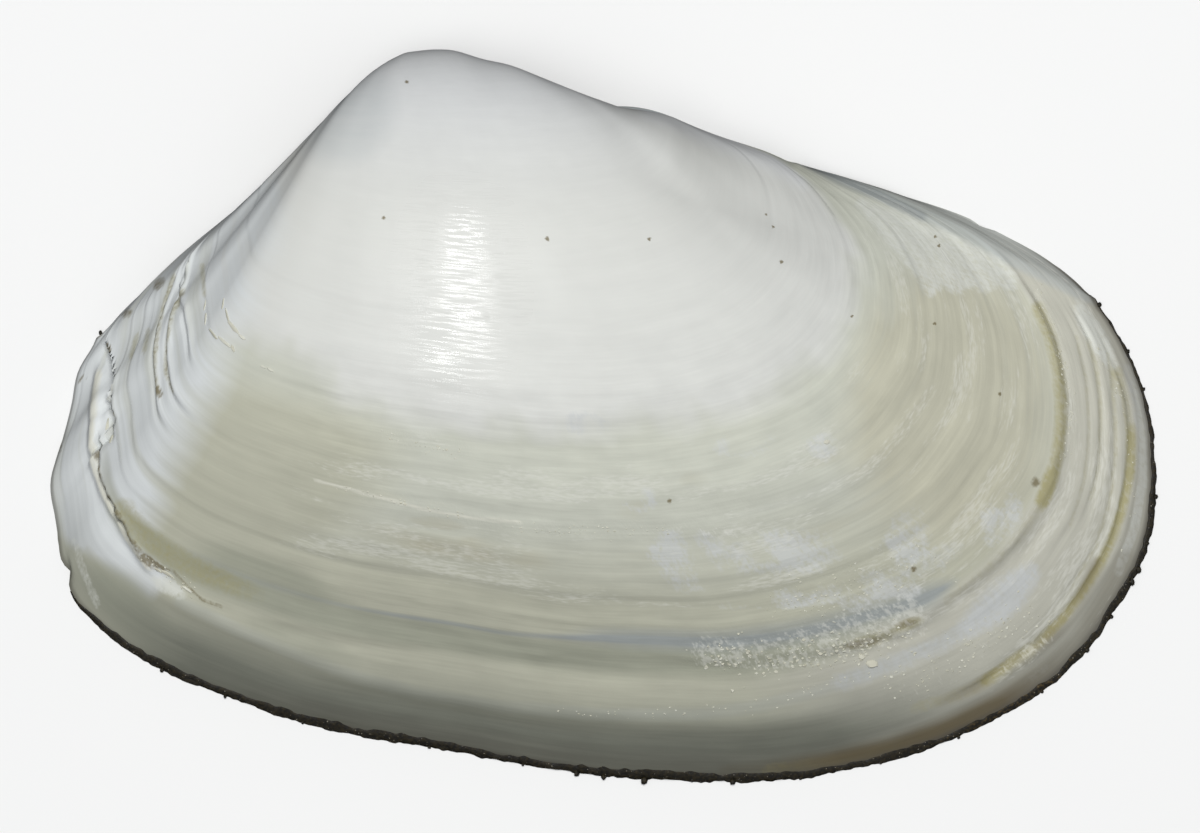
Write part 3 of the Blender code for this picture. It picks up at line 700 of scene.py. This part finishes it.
def shellPiece(materials):
    # the closed valve: outside rings from the rim to the beak, inside rings from the rim to the bowl
    steps = [1] * fullRings + [2] * halfRings + [4] * (len(stages) - fullRings - halfRings)
    outsideRings = [places[k][::step] for k, step in enumerate(steps)]
    innerRings, innerShares, innerMarks, top = insideSurface()
    numbers, count = [], 0
    for ring in outsideRings + innerRings:
        numbers.append(np.arange(count, count + len(ring)))
        count += len(ring)
    tips = [places[-1].mean(axis=0)[None, :], np.array(top)[None, :]]
    points = np.concatenate(outsideRings + innerRings + tips)
    faces = []
    outsideNumbers, innerNumbers = numbers[:len(steps)], numbers[len(steps):]
    for outer, inner in zip(outsideNumbers[:-1], outsideNumbers[1:]):
        joinRings(faces, outer, inner)
    closeRing(faces, outsideNumbers[-1], count)
    outsideFaces = len(faces)
    bowl = [outsideNumbers[0]] + innerNumbers
    for outer, inner in zip(bowl[:-1], bowl[1:]):
        joinRings(faces, outer, inner)
    closeRing(faces, bowl[-1], count + 1)
    faceSlots = np.ones(len(faces))
    faceSlots[:outsideFaces] = 0
    fieldValues = {}
    for name, grid in paint.items():
        values = np.concatenate([grid[k][::step] for k, step in enumerate(steps)])
        fieldValues[name] = np.concatenate([values, np.full(len(points) - len(values), values[-1])])
    outsideCount = sum(map(len, outsideRings))
    fieldValues["bowlShare"] = np.concatenate([np.ones(outsideCount)] + innerShares + [[1, 0]])
    fieldValues["scar"] = np.concatenate([np.zeros(outsideCount)] + innerMarks + [[0, 0]])
    return makePiece("valve_shell", points, faces, materials, fieldValues, faceSlots)


def hexColour(text):
    # an sRGB hex value as the linear colour that a shader takes
    channels = [int(text[i:i + 2], 16) / 255 for i in (1, 3, 5)]
    return (*(c / 12.92 if c <= 0.04045 else ((c + 0.055) / 1.055) ** 2.4 for c in channels), 1)


def setInputs(tree, node, inputs):
    for key, value in inputs.items():
        if isinstance(value, bpy.types.NodeSocket):
            tree.links.new(value, node.inputs[key])
        else:
            node.inputs[key].default_value = hexColour(value) if isinstance(value, str) else value


def addNode(tree, kind, settings, links, output=0):
    # settings are the node's own; links are what its inputs take, a value or another node's output
    node = tree.nodes.new("ShaderNode" + kind)
    for name, value in settings.items():
        setattr(node, name, value)
    setInputs(tree, node, links)
    return node.outputs[output]


def fieldOf(tree, name):
    return addNode(tree, "Attribute", {"attribute_name": name}, {}, "Fac")


def noiseOf(tree, place, scale, detail=2, output="Fac"):
    return addNode(tree, "TexNoise", {}, {"Vector": place, "Scale": scale, "Detail": detail}, output)


def reckoned(tree, operation, *values, kind="Math", output=0):
    return addNode(tree, kind, {"operation": operation}, dict(enumerate(values)), output)


def spreadOut(tree, value, low, high, toLow=0, toHigh=1):
    return addNode(tree, "MapRange", {}, {"Value": value, "From Min": low, "From Max": high,
                                          "To Min": toLow, "To Max": toHigh})


def mixedColour(tree, factor, first, second, blend="MIX"):
    settings = {"data_type": "RGBA", "blend_type": blend}
    return addNode(tree, "Mix", settings, {0: factor, 6: first, 7: second}, 2)


def mixedValue(tree, factor, first, second):
    return addNode(tree, "Mix", {"data_type": "FLOAT"}, {0: factor, 2: first, 3: second})


def makeMaterial(surface):
    # the surface's function adds its nodes and gives back what the shader's inputs take
    material = bpy.data.materials.new(surface.__name__)
    material.use_nodes = True
    tree = material.node_tree
    setInputs(tree, tree.nodes["Principled BSDF"], surface(tree))
    return material


# Aragonite, laid down in growth lines and then rolled in surf sand: a satin white ground with fine lines
# along the old margins, duller and creamier where the glossy skin of the young shell has worn away
aragonite = {
    "ground": "#DADBD5", "youngAndHingeLight": "#E2E4E3", "cream": "#C9CBBD", "olive": "#BCBCA9", "beige": "#C2C0AB",
    "strip": "#C3C2B4", "blue": "#DBDFDE", "shadeGrey": "#B7BEBE", "shadeLine": "#9DA3A2", "valley": "#A6A896",
    "lowBand": "#74766A", "pale": "#CDD0CE", "bloom": "#C9CCCA", "white": "#D5D7CE", "gold": "#A39C6A",
    "lip": "#DFDECF", "tan": "#B3B09B", "rust": "#6B5E3F", "dirtAndShadow": "#756A4A", "edge": "#57534A",
    "fleck": "#E2E2D8",
    "roughness": (0.13, 0.36), "creamRoughness": 0.38, "wornRoughness": 0.60, "ior": 1.55,
    # mm across and mm along the growth lines, and detail, of each pattern
    "patterns": {"striae": (0.12, 5, 1.6), "threads": (0.45, 14, 5), "bands": (1.9, 60, 4),
                 "dashes": (0.10, 0.95, 5), "blotches": (1.1, 3.4, 5), "grain": (0.26, 0.34, 4)},
    # how dark and light the growth lines of each pattern are
    "shades": [("striae", 0.96, 1.03), ("threads", 0.92, 1.06), ("bands", 0.93, 1.05),
               ("blotches", 0.95, 1.04)],
    # silvery flecks, painted as glints, and chalky crumbs: where, in which pattern, from, to, strength
    "flakes": [("glintFlecks", "dashes", 0.38, 0.58, 0.38), ("worn", "grain", 0.44, 0.60, 0.42)],
    "speckWobble": 0.00025, "speckStrength": 0.85,
    "striaeHeight": 0.0055, "threadHeight": 0.022, "grainHeight": 0.035,
}
# each layer of colour, some of them painted shade or painted highlights: what is painted, the pattern that
# breaks it up, how much, from, to, strength
aragoniteLayers = [
    ("youngAndHingeLight", "bands", 0.00, 0.00, 1.00, 1), ("cream", "bands", 0.50, 0.10, 0.85, 1),
    ("olive", "bands", 0.35, 0.10, 0.95, 1), ("beige", "threads", 0.60, 0.15, 0.85, 0.9),
    ("strip", "threads", 0.40, 0.15, 0.90, 1), ("blue", "threads", 0.45, 0.15, 0.80, 1),
    ("tan", "blotches", 0.70, 0.30, 1.00, 0.9), ("shadeGrey", "threads", 0.40, 0.10, 0.95, 1),
    ("bloom", "grain", 0.80, 0.30, 1.00, 0.9),
    ("valley", "threads", 0.30, 0.10, 0.95, 1), ("shadeLine", "threads", 0.40, 0.15, 0.90, 0.9),
    ("pale", "grain", 1.00, 0.45, 0.95, 0.70), ("lowBand", "threads", 0.25, 0.05, 1.00, 1),
    ("white", "grain", 0.90, 0.40, 0.95, 0.85), ("gold", "grain", 0.60, 0.25, 0.95, 0.80),
    ("lip", "dashes", 0.60, 0.30, 0.95, 0.9), ("rust", "threads", 0.40, 0.10, 1.00, 0.9),
    ("dirtAndShadow", "grain", 1.00, 0.35, 0.90, 0.80), ("edge", "threads", 0.40, 0.05, 0.95, 0.9),
]
# small dark specks: pixel x, pixel y, radius in mm
specks = [
    (408, 84, 0.14), (386, 220, 0.16), (548, 241, 0.20), (649, 241, 0.14), (780, 263, 0.18),
    (765, 216, 0.12), (772, 228, 0.12), (935, 237, 0.14), (933, 324, 0.15), (938, 246, 0.12),
    (998, 394, 0.18), (669, 500, 0.20), (912, 568, 0.24), (850, 317, 0.12)]


def wornAragonite(tree):
    fields = {name: fieldOf(tree, name) for name in paint}
    onShell = addNode(tree, "CombineXYZ", {}, {0: fields["growth"], 1: fields["along"]})
    patterns = {}
    for seed, (name, (across, lengthwise, detail)) in enumerate(aragonite["patterns"].items()):
        scaled = reckoned(tree, "MULTIPLY_ADD", onShell, (1 / across, 1 / lengthwise, 1),
                          (0, 0, 7.3 * seed), kind="VectorMath")
        patterns[name] = noiseOf(tree, scaled, 1, detail)
    colour = hexColour(aragonite["ground"])
    for name, pattern, weight, low, high, strength in aragoniteLayers:
        broken = reckoned(tree, "MULTIPLY_ADD", patterns[pattern], 2 * weight, 1 - weight)
        share = reckoned(tree, "MULTIPLY", fields[name], broken)
        colour = mixedColour(tree, spreadOut(tree, share, low, high, 0, strength), colour, aragonite[name])
    # the growth lines are a little darker and lighter by turns
    for pattern, low, high in aragonite["shades"]:
        shade = spreadOut(tree, patterns[pattern], 0.30, 0.70, low, high)
        colour = mixedColour(tree, fields["lined"], colour, shade, "MULTIPLY")
    # silvery flecks along the growth lines, painted as glints, and crumbs of chalky white where the surface
    # has flaked
    for field, pattern, low, high, strength in aragonite["flakes"]:
        share = reckoned(tree, "MULTIPLY", fields[field], patterns[pattern])
        factor = spreadOut(tree, share, low, high, 0, strength)
        colour = mixedColour(tree, factor, colour, aragonite["fleck"])
    # dark specks, seen from above
    place = addNode(tree, "TexCoord", {}, {}, "Object")
    wobble = noiseOf(tree, place, 5000, output="Color")
    reach = aragonite["speckWobble"]
    place = reckoned(tree, "MULTIPLY_ADD", wobble, (reach, reach, 0), place, kind="VectorMath")
    place = reckoned(tree, "MULTIPLY", place, (1, 1, 0), kind="VectorMath")
    for x, y, radius in specks:
        middle = ((x - photo["valveMiddleX"]) * photo["mmPerPixel"] * 0.001 + 0.48 * reach,
                  (photo["valveMiddleY"] - y) * photo["mmPerPixel"] * 0.001 + 0.48 * reach, 0)
        away = reckoned(tree, "DISTANCE", place, middle, kind="VectorMath", output="Value")
        factor = spreadOut(tree, away, radius * 0.0010, radius * 0.0005, 0, aragonite["speckStrength"])
        colour = mixedColour(tree, factor, colour, aragonite["dirtAndShadow"])
    # some growth lines are polished and some matt, so that a lamp is mirrored as a row of short streaks
    polished, matt = aragonite["roughness"]
    roughness = spreadOut(tree, patterns["striae"], 0.42, 0.58, polished, matt)
    roughness = mixedValue(tree, fields["striated"], matt, roughness)
    for field, most in (("cream", aragonite["creamRoughness"]), ("worn", aragonite["wornRoughness"]),
                        ("dirtAndShadow", aragonite["wornRoughness"])):
        roughness = mixedValue(tree, fields[field], roughness, most)
    gritty = reckoned(tree, "MAXIMUM", fields["worn"], fields["dirtAndShadow"])
    links = {}
    for pattern, share, bumpHeight in (("striae", fields["striated"], aragonite["striaeHeight"]),
                                       ("threads", fields["lined"], aragonite["threadHeight"]),
                                       ("grain", gritty, aragonite["grainHeight"])):
        links.update({"Height": reckoned(tree, "MULTIPLY", patterns[pattern], share),
                      "Distance": bumpHeight * 0.001, "Strength": 1})
        links["Normal"] = addNode(tree, "Bump", {}, links)
    return {"Base Color": colour, "Roughness": roughness, "Normal": links["Normal"], "IOR": aragonite["ior"]}


# The inside's smooth porcelain-like layer: glossier and whiter than the outside, warm towards the rim
porcelain = {"middle": "#DDDBD2", "rim": "#CFC8B4", "scar": "#C9C6BA", "roughness": (0.19, 0.36), "ior": 1.56,
             "cloudMm": 5}


def porcelainInside(tree):
    place = addNode(tree, "TexCoord", {}, {}, "Object")
    clouds = noiseOf(tree, place, 1000 / porcelain["cloudMm"], 4)
    nearRim = reckoned(tree, "MULTIPLY_ADD", clouds, 0.35, fieldOf(tree, "bowlShare"))
    colour = mixedColour(tree, spreadOut(tree, nearRim, 0.85, 1.25), porcelain["middle"], porcelain["rim"])
    colour = mixedColour(tree, fieldOf(tree, "scar"), colour, porcelain["scar"])
    return {"Base Color": colour, "IOR": porcelain["ior"],
            "Roughness": spreadOut(tree, clouds, 0, 1, *porcelain["roughness"]),
            "Normal": addNode(tree, "Bump", {}, {"Height": clouds, "Distance": 0.00008})}


insideMaterial = makeMaterial(porcelainInside)
shell = shellPiece([makeMaterial(wornAragonite), insideMaterial])


def addTube(points, faces, rings):
    # a closed solid from rings of equally many points, its two ends closed to their middles
    first = len(points)
    count = len(rings[0])
    for ring in rings:
        points += [tuple(point) for point in ring]
    numbers = [range(first + k * count, first + (k + 1) * count) for k in range(len(rings))]
    for outer, inner in zip(numbers[:-1], numbers[1:]):
        joinRings(faces, outer, inner)
    for ring, ringNumbers in ((rings[0], numbers[0]), (rings[-1], numbers[-1])):
        points.append(tuple(np.mean(ring, axis=0)))
        closeRing(faces, ringNumbers, len(points) - 1)


# The horny skin that once covered the whole valve is left only along its edge, as a dark ragged fringe
fringe = {
    # pixel of the rim, width on the shell, reach past the rim, thickness, all three in mm, and how golden
    "course": [
        (1092, 297, 0.06, 0.03, 0.04, 0.1), (1107, 320, 0.12, 0.05, 0.06, 0.1),
        (1130, 360, 0.16, 0.08, 0.08, 0.1), (1147, 405, 0.22, 0.10, 0.10, 0.1),
        (1154, 455, 0.20, 0.12, 0.10, 0.1), (1153, 515, 0.26, 0.14, 0.12, 0.2),
        (1142, 557, 0.28, 0.18, 0.12, 0.2), (1119, 600, 0.26, 0.14, 0.10, 0.2),
        (1088, 648, 0.30, 0.14, 0.10, 0.4), (1050, 684, 0.34, 0.12, 0.10, 0.5),
        (1000, 716, 0.36, 0.12, 0.10, 0.5), (940, 743, 0.36, 0.12, 0.10, 0.4),
        (880, 762, 0.36, 0.14, 0.12, 0.3), (800, 779, 0.40, 0.16, 0.12, 0.2),
        (720, 780, 0.46, 0.18, 0.14, 0), (640, 778, 0.46, 0.18, 0.14, 0),
        (560, 769, 0.44, 0.14, 0.14, 0), (480, 754, 0.44, 0.14, 0.13, 0.1),
        (400, 742, 0.52, 0.16, 0.13, 0.1), (320, 726, 0.48, 0.14, 0.12, 0.1),
        (260, 706, 0.40, 0.14, 0.11, 0.2), (200, 685, 0.46, 0.16, 0.12, 0.3),
        (150, 660, 0.56, 0.18, 0.12, 0.3), (110, 634, 0.46, 0.14, 0.10, 0.3),
        (84, 610, 0.26, 0.08, 0.07, 0.1), (70, 590, 0.06, 0.03, 0.04, 0.1)],
    "columns": 1800,
    # crumbs of it that stand out: pixel, size in mm
    "crumbs": [
        (580, 773, 0.20), (605, 777, 0.18), (645, 781, 0.24), (735, 783, 0.20), (1156, 497, 0.16),
        (1140, 568, 0.20), (1137, 582, 0.22), (1089, 650, 0.16), (1150, 545, 0.14), (1102, 305, 0.14),
        (1128, 352, 0.12), (1143, 392, 0.12), (165, 670, 0.16), (225, 697, 0.14), (300, 722, 0.12),
        (100, 336, 0.14), (212, 229, 0.08), (430, 748, 0.12), (520, 763, 0.12), (690, 783, 0.14),
        (800, 781, 0.14), (880, 765, 0.12), (960, 737, 0.12), (1045, 690, 0.12), (1110, 615, 0.14)],
}


def sampleOf(grid, ringPlace, columnPlace):
    # a grid of points read between its rings and columns
    ring = np.clip(np.floor(ringPlace).astype(int), 0, grid.shape[0] - 2)
    column = np.floor(columnPlace).astype(int)
    ringPart, columnPart = (ringPlace - ring)[:, None], (columnPlace - column)[:, None]
    here, after = column % grid.shape[1], (column + 1) % grid.shape[1]
    low = grid[ring, here] * (1 - columnPart) + grid[ring, after] * columnPart
    high = grid[ring + 1, here] * (1 - columnPart) + grid[ring + 1, after] * columnPart
    return low * (1 - ringPart) + high * ringPart


def fringePiece(material):
    keys = np.array([(nearestPlace(x, y, 1)[1], *sizes) for x, y, *sizes in fringe["course"]], dtype=float).T
    columnPlace = np.linspace(keys[0, 0], keys[0, -1], fringe["columns"])
    width, overhang, thickness, golden = (np.interp(columnPlace, keys[0], row) for row in keys[1:])
    run = columnPlace * rimLength / valve["around"]
    width = width * (1 + 0.20 * lineNoise(run / 0.5, 71) + 0.25 * lineNoise(run / 1.9, 72))
    ragged = 0.8 + 0.5 * lineNoise(run / 0.9, 73) + 0.35 * lineNoise(run / 0.3, 74)
    overhang = overhang * np.clip(ragged, 0.2, 2)
    thickness = thickness * (1 + 0.2 * lineNoise(run / 0.5, 75) + 0.12 * lineNoise(run / 0.25, 76))
    ringSpacing = np.linalg.norm(plain[0] - plain[1], axis=1).mean()

    def onShell(share, lift):
        ringPlace = share * width / ringSpacing
        upWay = sampleOf(outward, ringPlace, columnPlace)
        return sampleOf(places, ringPlace, columnPlace) + upWay * lift[:, None]

    rimPlace = sampleOf(places, np.zeros_like(columnPlace), columnPlace)
    inwardPiece = sampleOf(np.stack([inwardWay, inwardWay]), np.zeros_like(columnPlace), columnPlace)

    def pastRim(reach, heightOver):
        return np.column_stack([rimPlace[:, :2] - inwardPiece * reach[:, None], heightOver])

    upper = 0.03 * lineNoise(run / 0.35, 77)
    section = [onShell(1, np.full_like(run, -0.04)), onShell(0.82, 0.5 * thickness),
               onShell(0.5, thickness * (0.8 + 2 * upper)), onShell(0.15, thickness),
               pastRim(0.6 * overhang, np.maximum(0.75 * thickness + upper, 0.03)),
               pastRim(overhang, np.maximum(0.25 * thickness + 0.5 * upper, 0.012)),
               pastRim(0.9 * overhang, np.zeros_like(run)),
               pastRim(np.full_like(run, -0.3), np.full_like(run, 0.1))]
    rings = np.stack(section, axis=1)
    points, faces = [], []
    addTube(points, faces, rings)
    gold = np.repeat(golden, rings.shape[1]).tolist() + [golden[0], golden[-1]]
    draw = np.random.default_rng(7)
    angles = turnAngles(8)
    for x, y, size in fringe["crumbs"]:
        column = nearestPlace(x, y, 1)[1]
        away = draw.uniform(0.3, 0.9) * size
        middle = np.append(places[0, column, :2] - inwardWay[column] * away, 0.8 * size)
        crumbRings = []
        for tilt in np.linspace(0.15, 0.85, 5) * math.pi:
            radius = size * math.sin(tilt) * draw.uniform(0.7, 1.2, len(angles))
            crumbHeight = middle[2] - 0.8 * size * math.cos(tilt)
            crumbRings.append(np.column_stack([middle[0] + radius * np.cos(angles),
                                               middle[1] + 1.2 * radius * np.sin(angles),
                                               np.full_like(angles, crumbHeight)]))
        before = len(points)
        addTube(points, faces, crumbRings)
        gold += [0.1] * (len(points) - before)
    return makePiece("horny_fringe", points, faces, [material], {"golden": gold}, sharpAngle=50)


# Periostracum, the valve's dried horny skin: dark and faintly glossy in tatters, golden brown where thin
hornySkin = {"dark": "#15130C", "brown": "#2E2817", "golden": "#6E5A33", "glint": "#A8A292",
             "roughness": (0.32, 0.67), "grainMm": 0.22, "glintMm": 0.12, "grainHeight": 0.05}


def driedHornySkin(tree):
    place = addNode(tree, "TexCoord", {}, {}, "Object")
    grain = noiseOf(tree, place, 1000 / hornySkin["grainMm"], 3)
    glint = noiseOf(tree, place, 1000 / hornySkin["glintMm"], 1)
    golden = reckoned(tree, "MULTIPLY", fieldOf(tree, "golden"), grain)
    colour = hexColour(hornySkin["dark"])
    for name, source, low, high in (("brown", grain, 0.40, 0.70), ("golden", golden, 0.25, 0.55),
                                    ("glint", glint, 0.72, 0.78)):
        colour = mixedColour(tree, spreadOut(tree, source, low, high), colour, hornySkin[name])
    bump = addNode(tree, "Bump", {}, {"Height": grain, "Distance": hornySkin["grainHeight"] * 0.001})
    return {"Base Color": colour, "Normal": bump,
            "Roughness": spreadOut(tree, grain, 0, 1, *hornySkin["roughness"])}


skin = fringePiece(makeMaterial(driedHornySkin))

# Hinge teeth: rounded blades on the hinge plate, from the coil axis: start, end, thickness, in mm
hingeTeeth = {
    "blades": [((3.4, -2.8), (5.2, -4.7), 0.9), ((1.3, -2.7), (1.7, -4.6), 0.7),
               ((7.6, -3), (12.4, -3.1), 1), ((-4, -5.3), (-8, -8.1), 0.9)],
    "tip": 0.25, "middleHeight": 1, "sections": 13, "sides": 12,
}


def teethPiece(material):
    points, faces = [], []
    angles = turnAngles(hingeTeeth["sides"])
    for start, end, thickness in hingeTeeth["blades"]:
        start, end = np.array(start) + coilPlace[:2], np.array(end) + coilPlace[:2]
        sideways = np.array([start[1] - end[1], end[0] - start[0]]) / np.linalg.norm(end - start)
        rings = []
        for part in np.linspace(0.02, 0.98, hingeTeeth["sections"]):
            fullness = (1 - abs(2 * part - 1) ** 3) ** 0.5
            middle = start + (end - start) * part
            flat = middle + sideways * (0.5 * thickness * fullness * np.cos(angles))[:, None]
            deep = (hingeTeeth["middleHeight"] - hingeTeeth["tip"]) * (0.35 + 0.65 * fullness)
            rings.append(np.column_stack([flat, hingeTeeth["middleHeight"] + deep * np.sin(angles)]))
        addTube(points, faces, rings)
    fieldValues = {"bowlShare": np.ones(len(points)), "scar": np.zeros(len(points))}
    return makePiece("hinge_teeth", points, faces, [material], fieldValues)


teeth = teethPiece(insideMaterial)

# Where the surface has flaked, thin chips of it stand up a little and catch the light
chips = {
    # single ones: pixel, length and width in mm, turn in degrees clockwise in the photograph, rise in mm
    "single": [
        (207, 306, 1.1, 0.16, 92, 0.05), (209, 320, 1.1, 0.18, 75, 0.05), (216, 334, 1.2, 0.20, 40, 0.06),
        (227, 344, 1.3, 0.24, 36, 0.06), (237, 350, 0.6, 0.22, 60, 0.08), (227, 304, 0.8, 0.16, 84, 0.05),
        (231, 316, 1.1, 0.18, 64, 0.06), (240, 328, 1.2, 0.30, 46, 0.06), (247, 337, 0.7, 0.22, 36, 0.06),
        (274, 371, 0.6, 0.18, 34, 0.08), (267, 366, 0.4, 0.14, 20, 0.06), (103, 428, 1.2, 0.20, 95, 0.08),
        (111, 417, 0.7, 0.20, 40, 0.08), (112, 440, 0.7, 0.18, 120, 0.08), (171, 576, 1.2, 0.26, 30, 0.08),
        (187, 588, 0.9, 0.22, 40, 0.08), (160, 570, 0.7, 0.22, 30, 0.08), (868, 664, 0.9, 0.6, -10, 0.14),
        (862, 658, 0.5, 0.4, 20, 0.12), (826, 441, 0.5, 0.3, 0, 0.06)],
    # scattered ones: a path in pixels, how far from it, how many, least and most length in mm, rise
    "scattered": [([(705, 655), (770, 660), (840, 652), (900, 634)], 20, 230, 0.10, 0.34, 0.06),
                  ([(780, 600), (850, 590), (930, 560)], 26, 110, 0.08, 0.24, 0.04),
                  ([(880, 690), (960, 660), (1030, 610)], 22, 110, 0.08, 0.26, 0.05),
                  ([(1036, 290), (1058, 340), (1070, 400), (1066, 460)], 6, 60, 0.08, 0.24, 0.04),
                  ([(1098, 340), (1124, 400), (1134, 470), (1118, 550)], 7, 50, 0.08, 0.24, 0.04),
                  ([(510, 528), (590, 530), (670, 528)], 6, 60, 0.07, 0.20, 0.03),
                  ([(384, 434), (430, 446), (466, 455)], 7, 40, 0.07, 0.20, 0.03),
                  ([(330, 484), (400, 502), (466, 516)], 3, 40, 0.08, 0.24, 0.03),
                  ([(540, 710), (640, 714), (760, 704), (860, 676)], 5, 60, 0.07, 0.20, 0.04),
                  ([(150, 560), (170, 574), (196, 592)], 6, 30, 0.08, 0.22, 0.06)],
    "corners": 7,
}


def chipsPiece(material):
    draw = np.random.default_rng(17)
    points, faces, pale = [], [], []

    def addChip(x, y, length, width, turn, rise):
        ring, column = nearestPlace(x, y)
        upWay = outward[ring, column]
        angle = math.radians(turn)
        longWay = np.array([math.cos(angle), -math.sin(angle), 0])
        longWay -= upWay * longWay.dot(upWay)
        longWay /= np.linalg.norm(longWay)
        wideWay = np.cross(upWay, longWay)
        middle = places[ring, column] + longWay * draw.uniform(-0.08, 0.08)
        middle = middle + wideWay * draw.uniform(-0.08, 0.08)
        count = chips["corners"]
        angles = turnAngles(count) + draw.uniform(0, 0.5, count)
        reach = draw.uniform(0.7, 1.15, count)
        flat = (0.5 * length * reach * np.cos(angles))[:, None] * longWay \
            + (0.5 * width * reach * np.sin(angles))[:, None] * wideWay
        tilt = draw.uniform(-0.5, 0.5) * rise * np.sin(angles)[:, None] * upWay
        before = len(points)
        addTube(points, faces, [middle + 1.1 * flat - 0.08 * upWay,
                                middle + flat + 0.5 * rise * upWay + 0.5 * tilt,
                                middle + 0.7 * flat + rise * upWay + tilt])
        pale.extend([draw.uniform(0.2, 1)] * (len(points) - before))

    for chip in chips["single"]:
        addChip(*chip)
    for path, spread, count, least, most, rise in chips["scattered"]:
        path = np.array(path, dtype=float)
        for _ in range(count):
            place = draw.uniform(0, len(path) - 1.001)
            part, start = place % 1, path[int(place)]
            run = path[int(place) + 1] - start
            x, y = start + run * part + draw.normal(0, 0.5 * spread, 2)
            length = least + (most - least) * draw.uniform() ** 2
            turn = math.degrees(math.atan2(run[1], run[0])) + draw.normal(0, 25)
            addChip(x, y, length, length * draw.uniform(0.45, 0.9), turn, rise * draw.uniform(0.5, 1.2))
    return makePiece("surface_chips", points, faces, [material], {"chalky": pale}, sharpAngle=35)


# Chips of the same aragonite, split along its layers: chalky where matt, bright where a layer still shines
chippedLayer = {"warm": "#C4C1AD", "chalky": "#D3D3C6", "roughness": (0.60, 0.25)}


def chippedAragonite(tree):
    chalky = fieldOf(tree, "chalky")
    return {"Base Color": mixedColour(tree, chalky, chippedLayer["warm"], chippedLayer["chalky"]),
            "Roughness": spreadOut(tree, chalky, 0, 1, *chippedLayer["roughness"])}


chipped = chipsPiece(makeMaterial(chippedAragonite))
for piece in (shell, skin, teeth, chipped):
    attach(piece, "root")
    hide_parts("right_valve")
print("fringe, teeth and chips made")

# Studio: a near-white floor, one large soft lamp from the upper left and a small one that makes the
# bright streak on the dome. Directions point from the valve to the lamp; sizes and distances in metres
studio = {
    "floorColour": "#F4F4F2", "floorSize": 1.6,
    # name, direction, distance, size, power, and whether its own shine is seen
    "lamps": [("softLamp", (0.08, 0.24, 0.97), 0.90, (0.30, 0.30), 4.7, False),
              ("streakLamp", (-0.198, 0.02, 0.96), 0.80, (0.86, 0.040), 1.5, True)],
    "skyColour": "#F6F8FF", "skyStrength": 0.30,
    "lens": 500, "sensor": 36,
}


def paintedBoard(tree):
    return {"Base Color": studio["floorColour"], "Roughness": 0.9}


def makeFloor():
    half = studio["floorSize"] * 500
    corners = [(-half, -half, 0), (half, -half, 0), (half, half, 0), (-half, half, 0)]
    floor = makePiece("floor", corners, [(0, 1, 2, 3)], [makeMaterial(paintedBoard)])
    # the photograph is cut out on white: its background throws no light back on the valve
    floor.visible_diffuse = False
    floor.visible_glossy = False


def makeLamps():
    for name, direction, distance, size, power, shines in studio["lamps"]:
        lamp = bpy.data.lights.new(name, "AREA")
        lamp.shape = "ELLIPSE"
        lamp.size, lamp.size_y = size
        lamp.energy = power
        item = addObject(name, lamp)
        item.location = Vector(direction).normalized() * distance
        item.rotation_mode = "QUATERNION"
        item.rotation_quaternion = (-Vector(direction)).to_track_quat("-Z", "Y")
        item.visible_glossy = shines
    world = bpy.data.worlds.new("studioSky")
    world.use_nodes = True
    tree = world.node_tree
    way = addNode(tree, "TexCoord", {}, {}, "Generated")
    upward = addNode(tree, "SeparateXYZ", {}, {0: way}, 2)
    strength = spreadOut(tree, upward, -0.1, 0.3, 0, studio["skyStrength"])
    setInputs(tree, tree.nodes["Background"], {"Color": studio["skyColour"], "Strength": strength})
    bpy.context.scene.world = world
    bpy.context.scene.view_settings.view_transform = "Standard"


def makeCamera():
    # straight down, with the photograph's frame; the long lens keeps the outline as it lies on the floor
    camera = bpy.data.cameras.new("camera")
    camera.lens = studio["lens"]
    camera.sensor_width = studio["sensor"]
    item = addObject("camera", camera)
    mm = photo["mmPerPixel"]
    frameWidth = photo["width"] * mm
    item.location = ((photo["width"] / 2 - photo["valveMiddleX"]) * mm * 0.001,
                     (photo["valveMiddleY"] - photo["height"] / 2) * mm * 0.001,
                     frameWidth * 0.001 * studio["lens"] / studio["sensor"])
    camera.clip_start = 0.01
    camera.clip_end = 10
    bpy.context.scene.camera = item


makeFloor()
makeLamps()
makeCamera()
print("studio made")
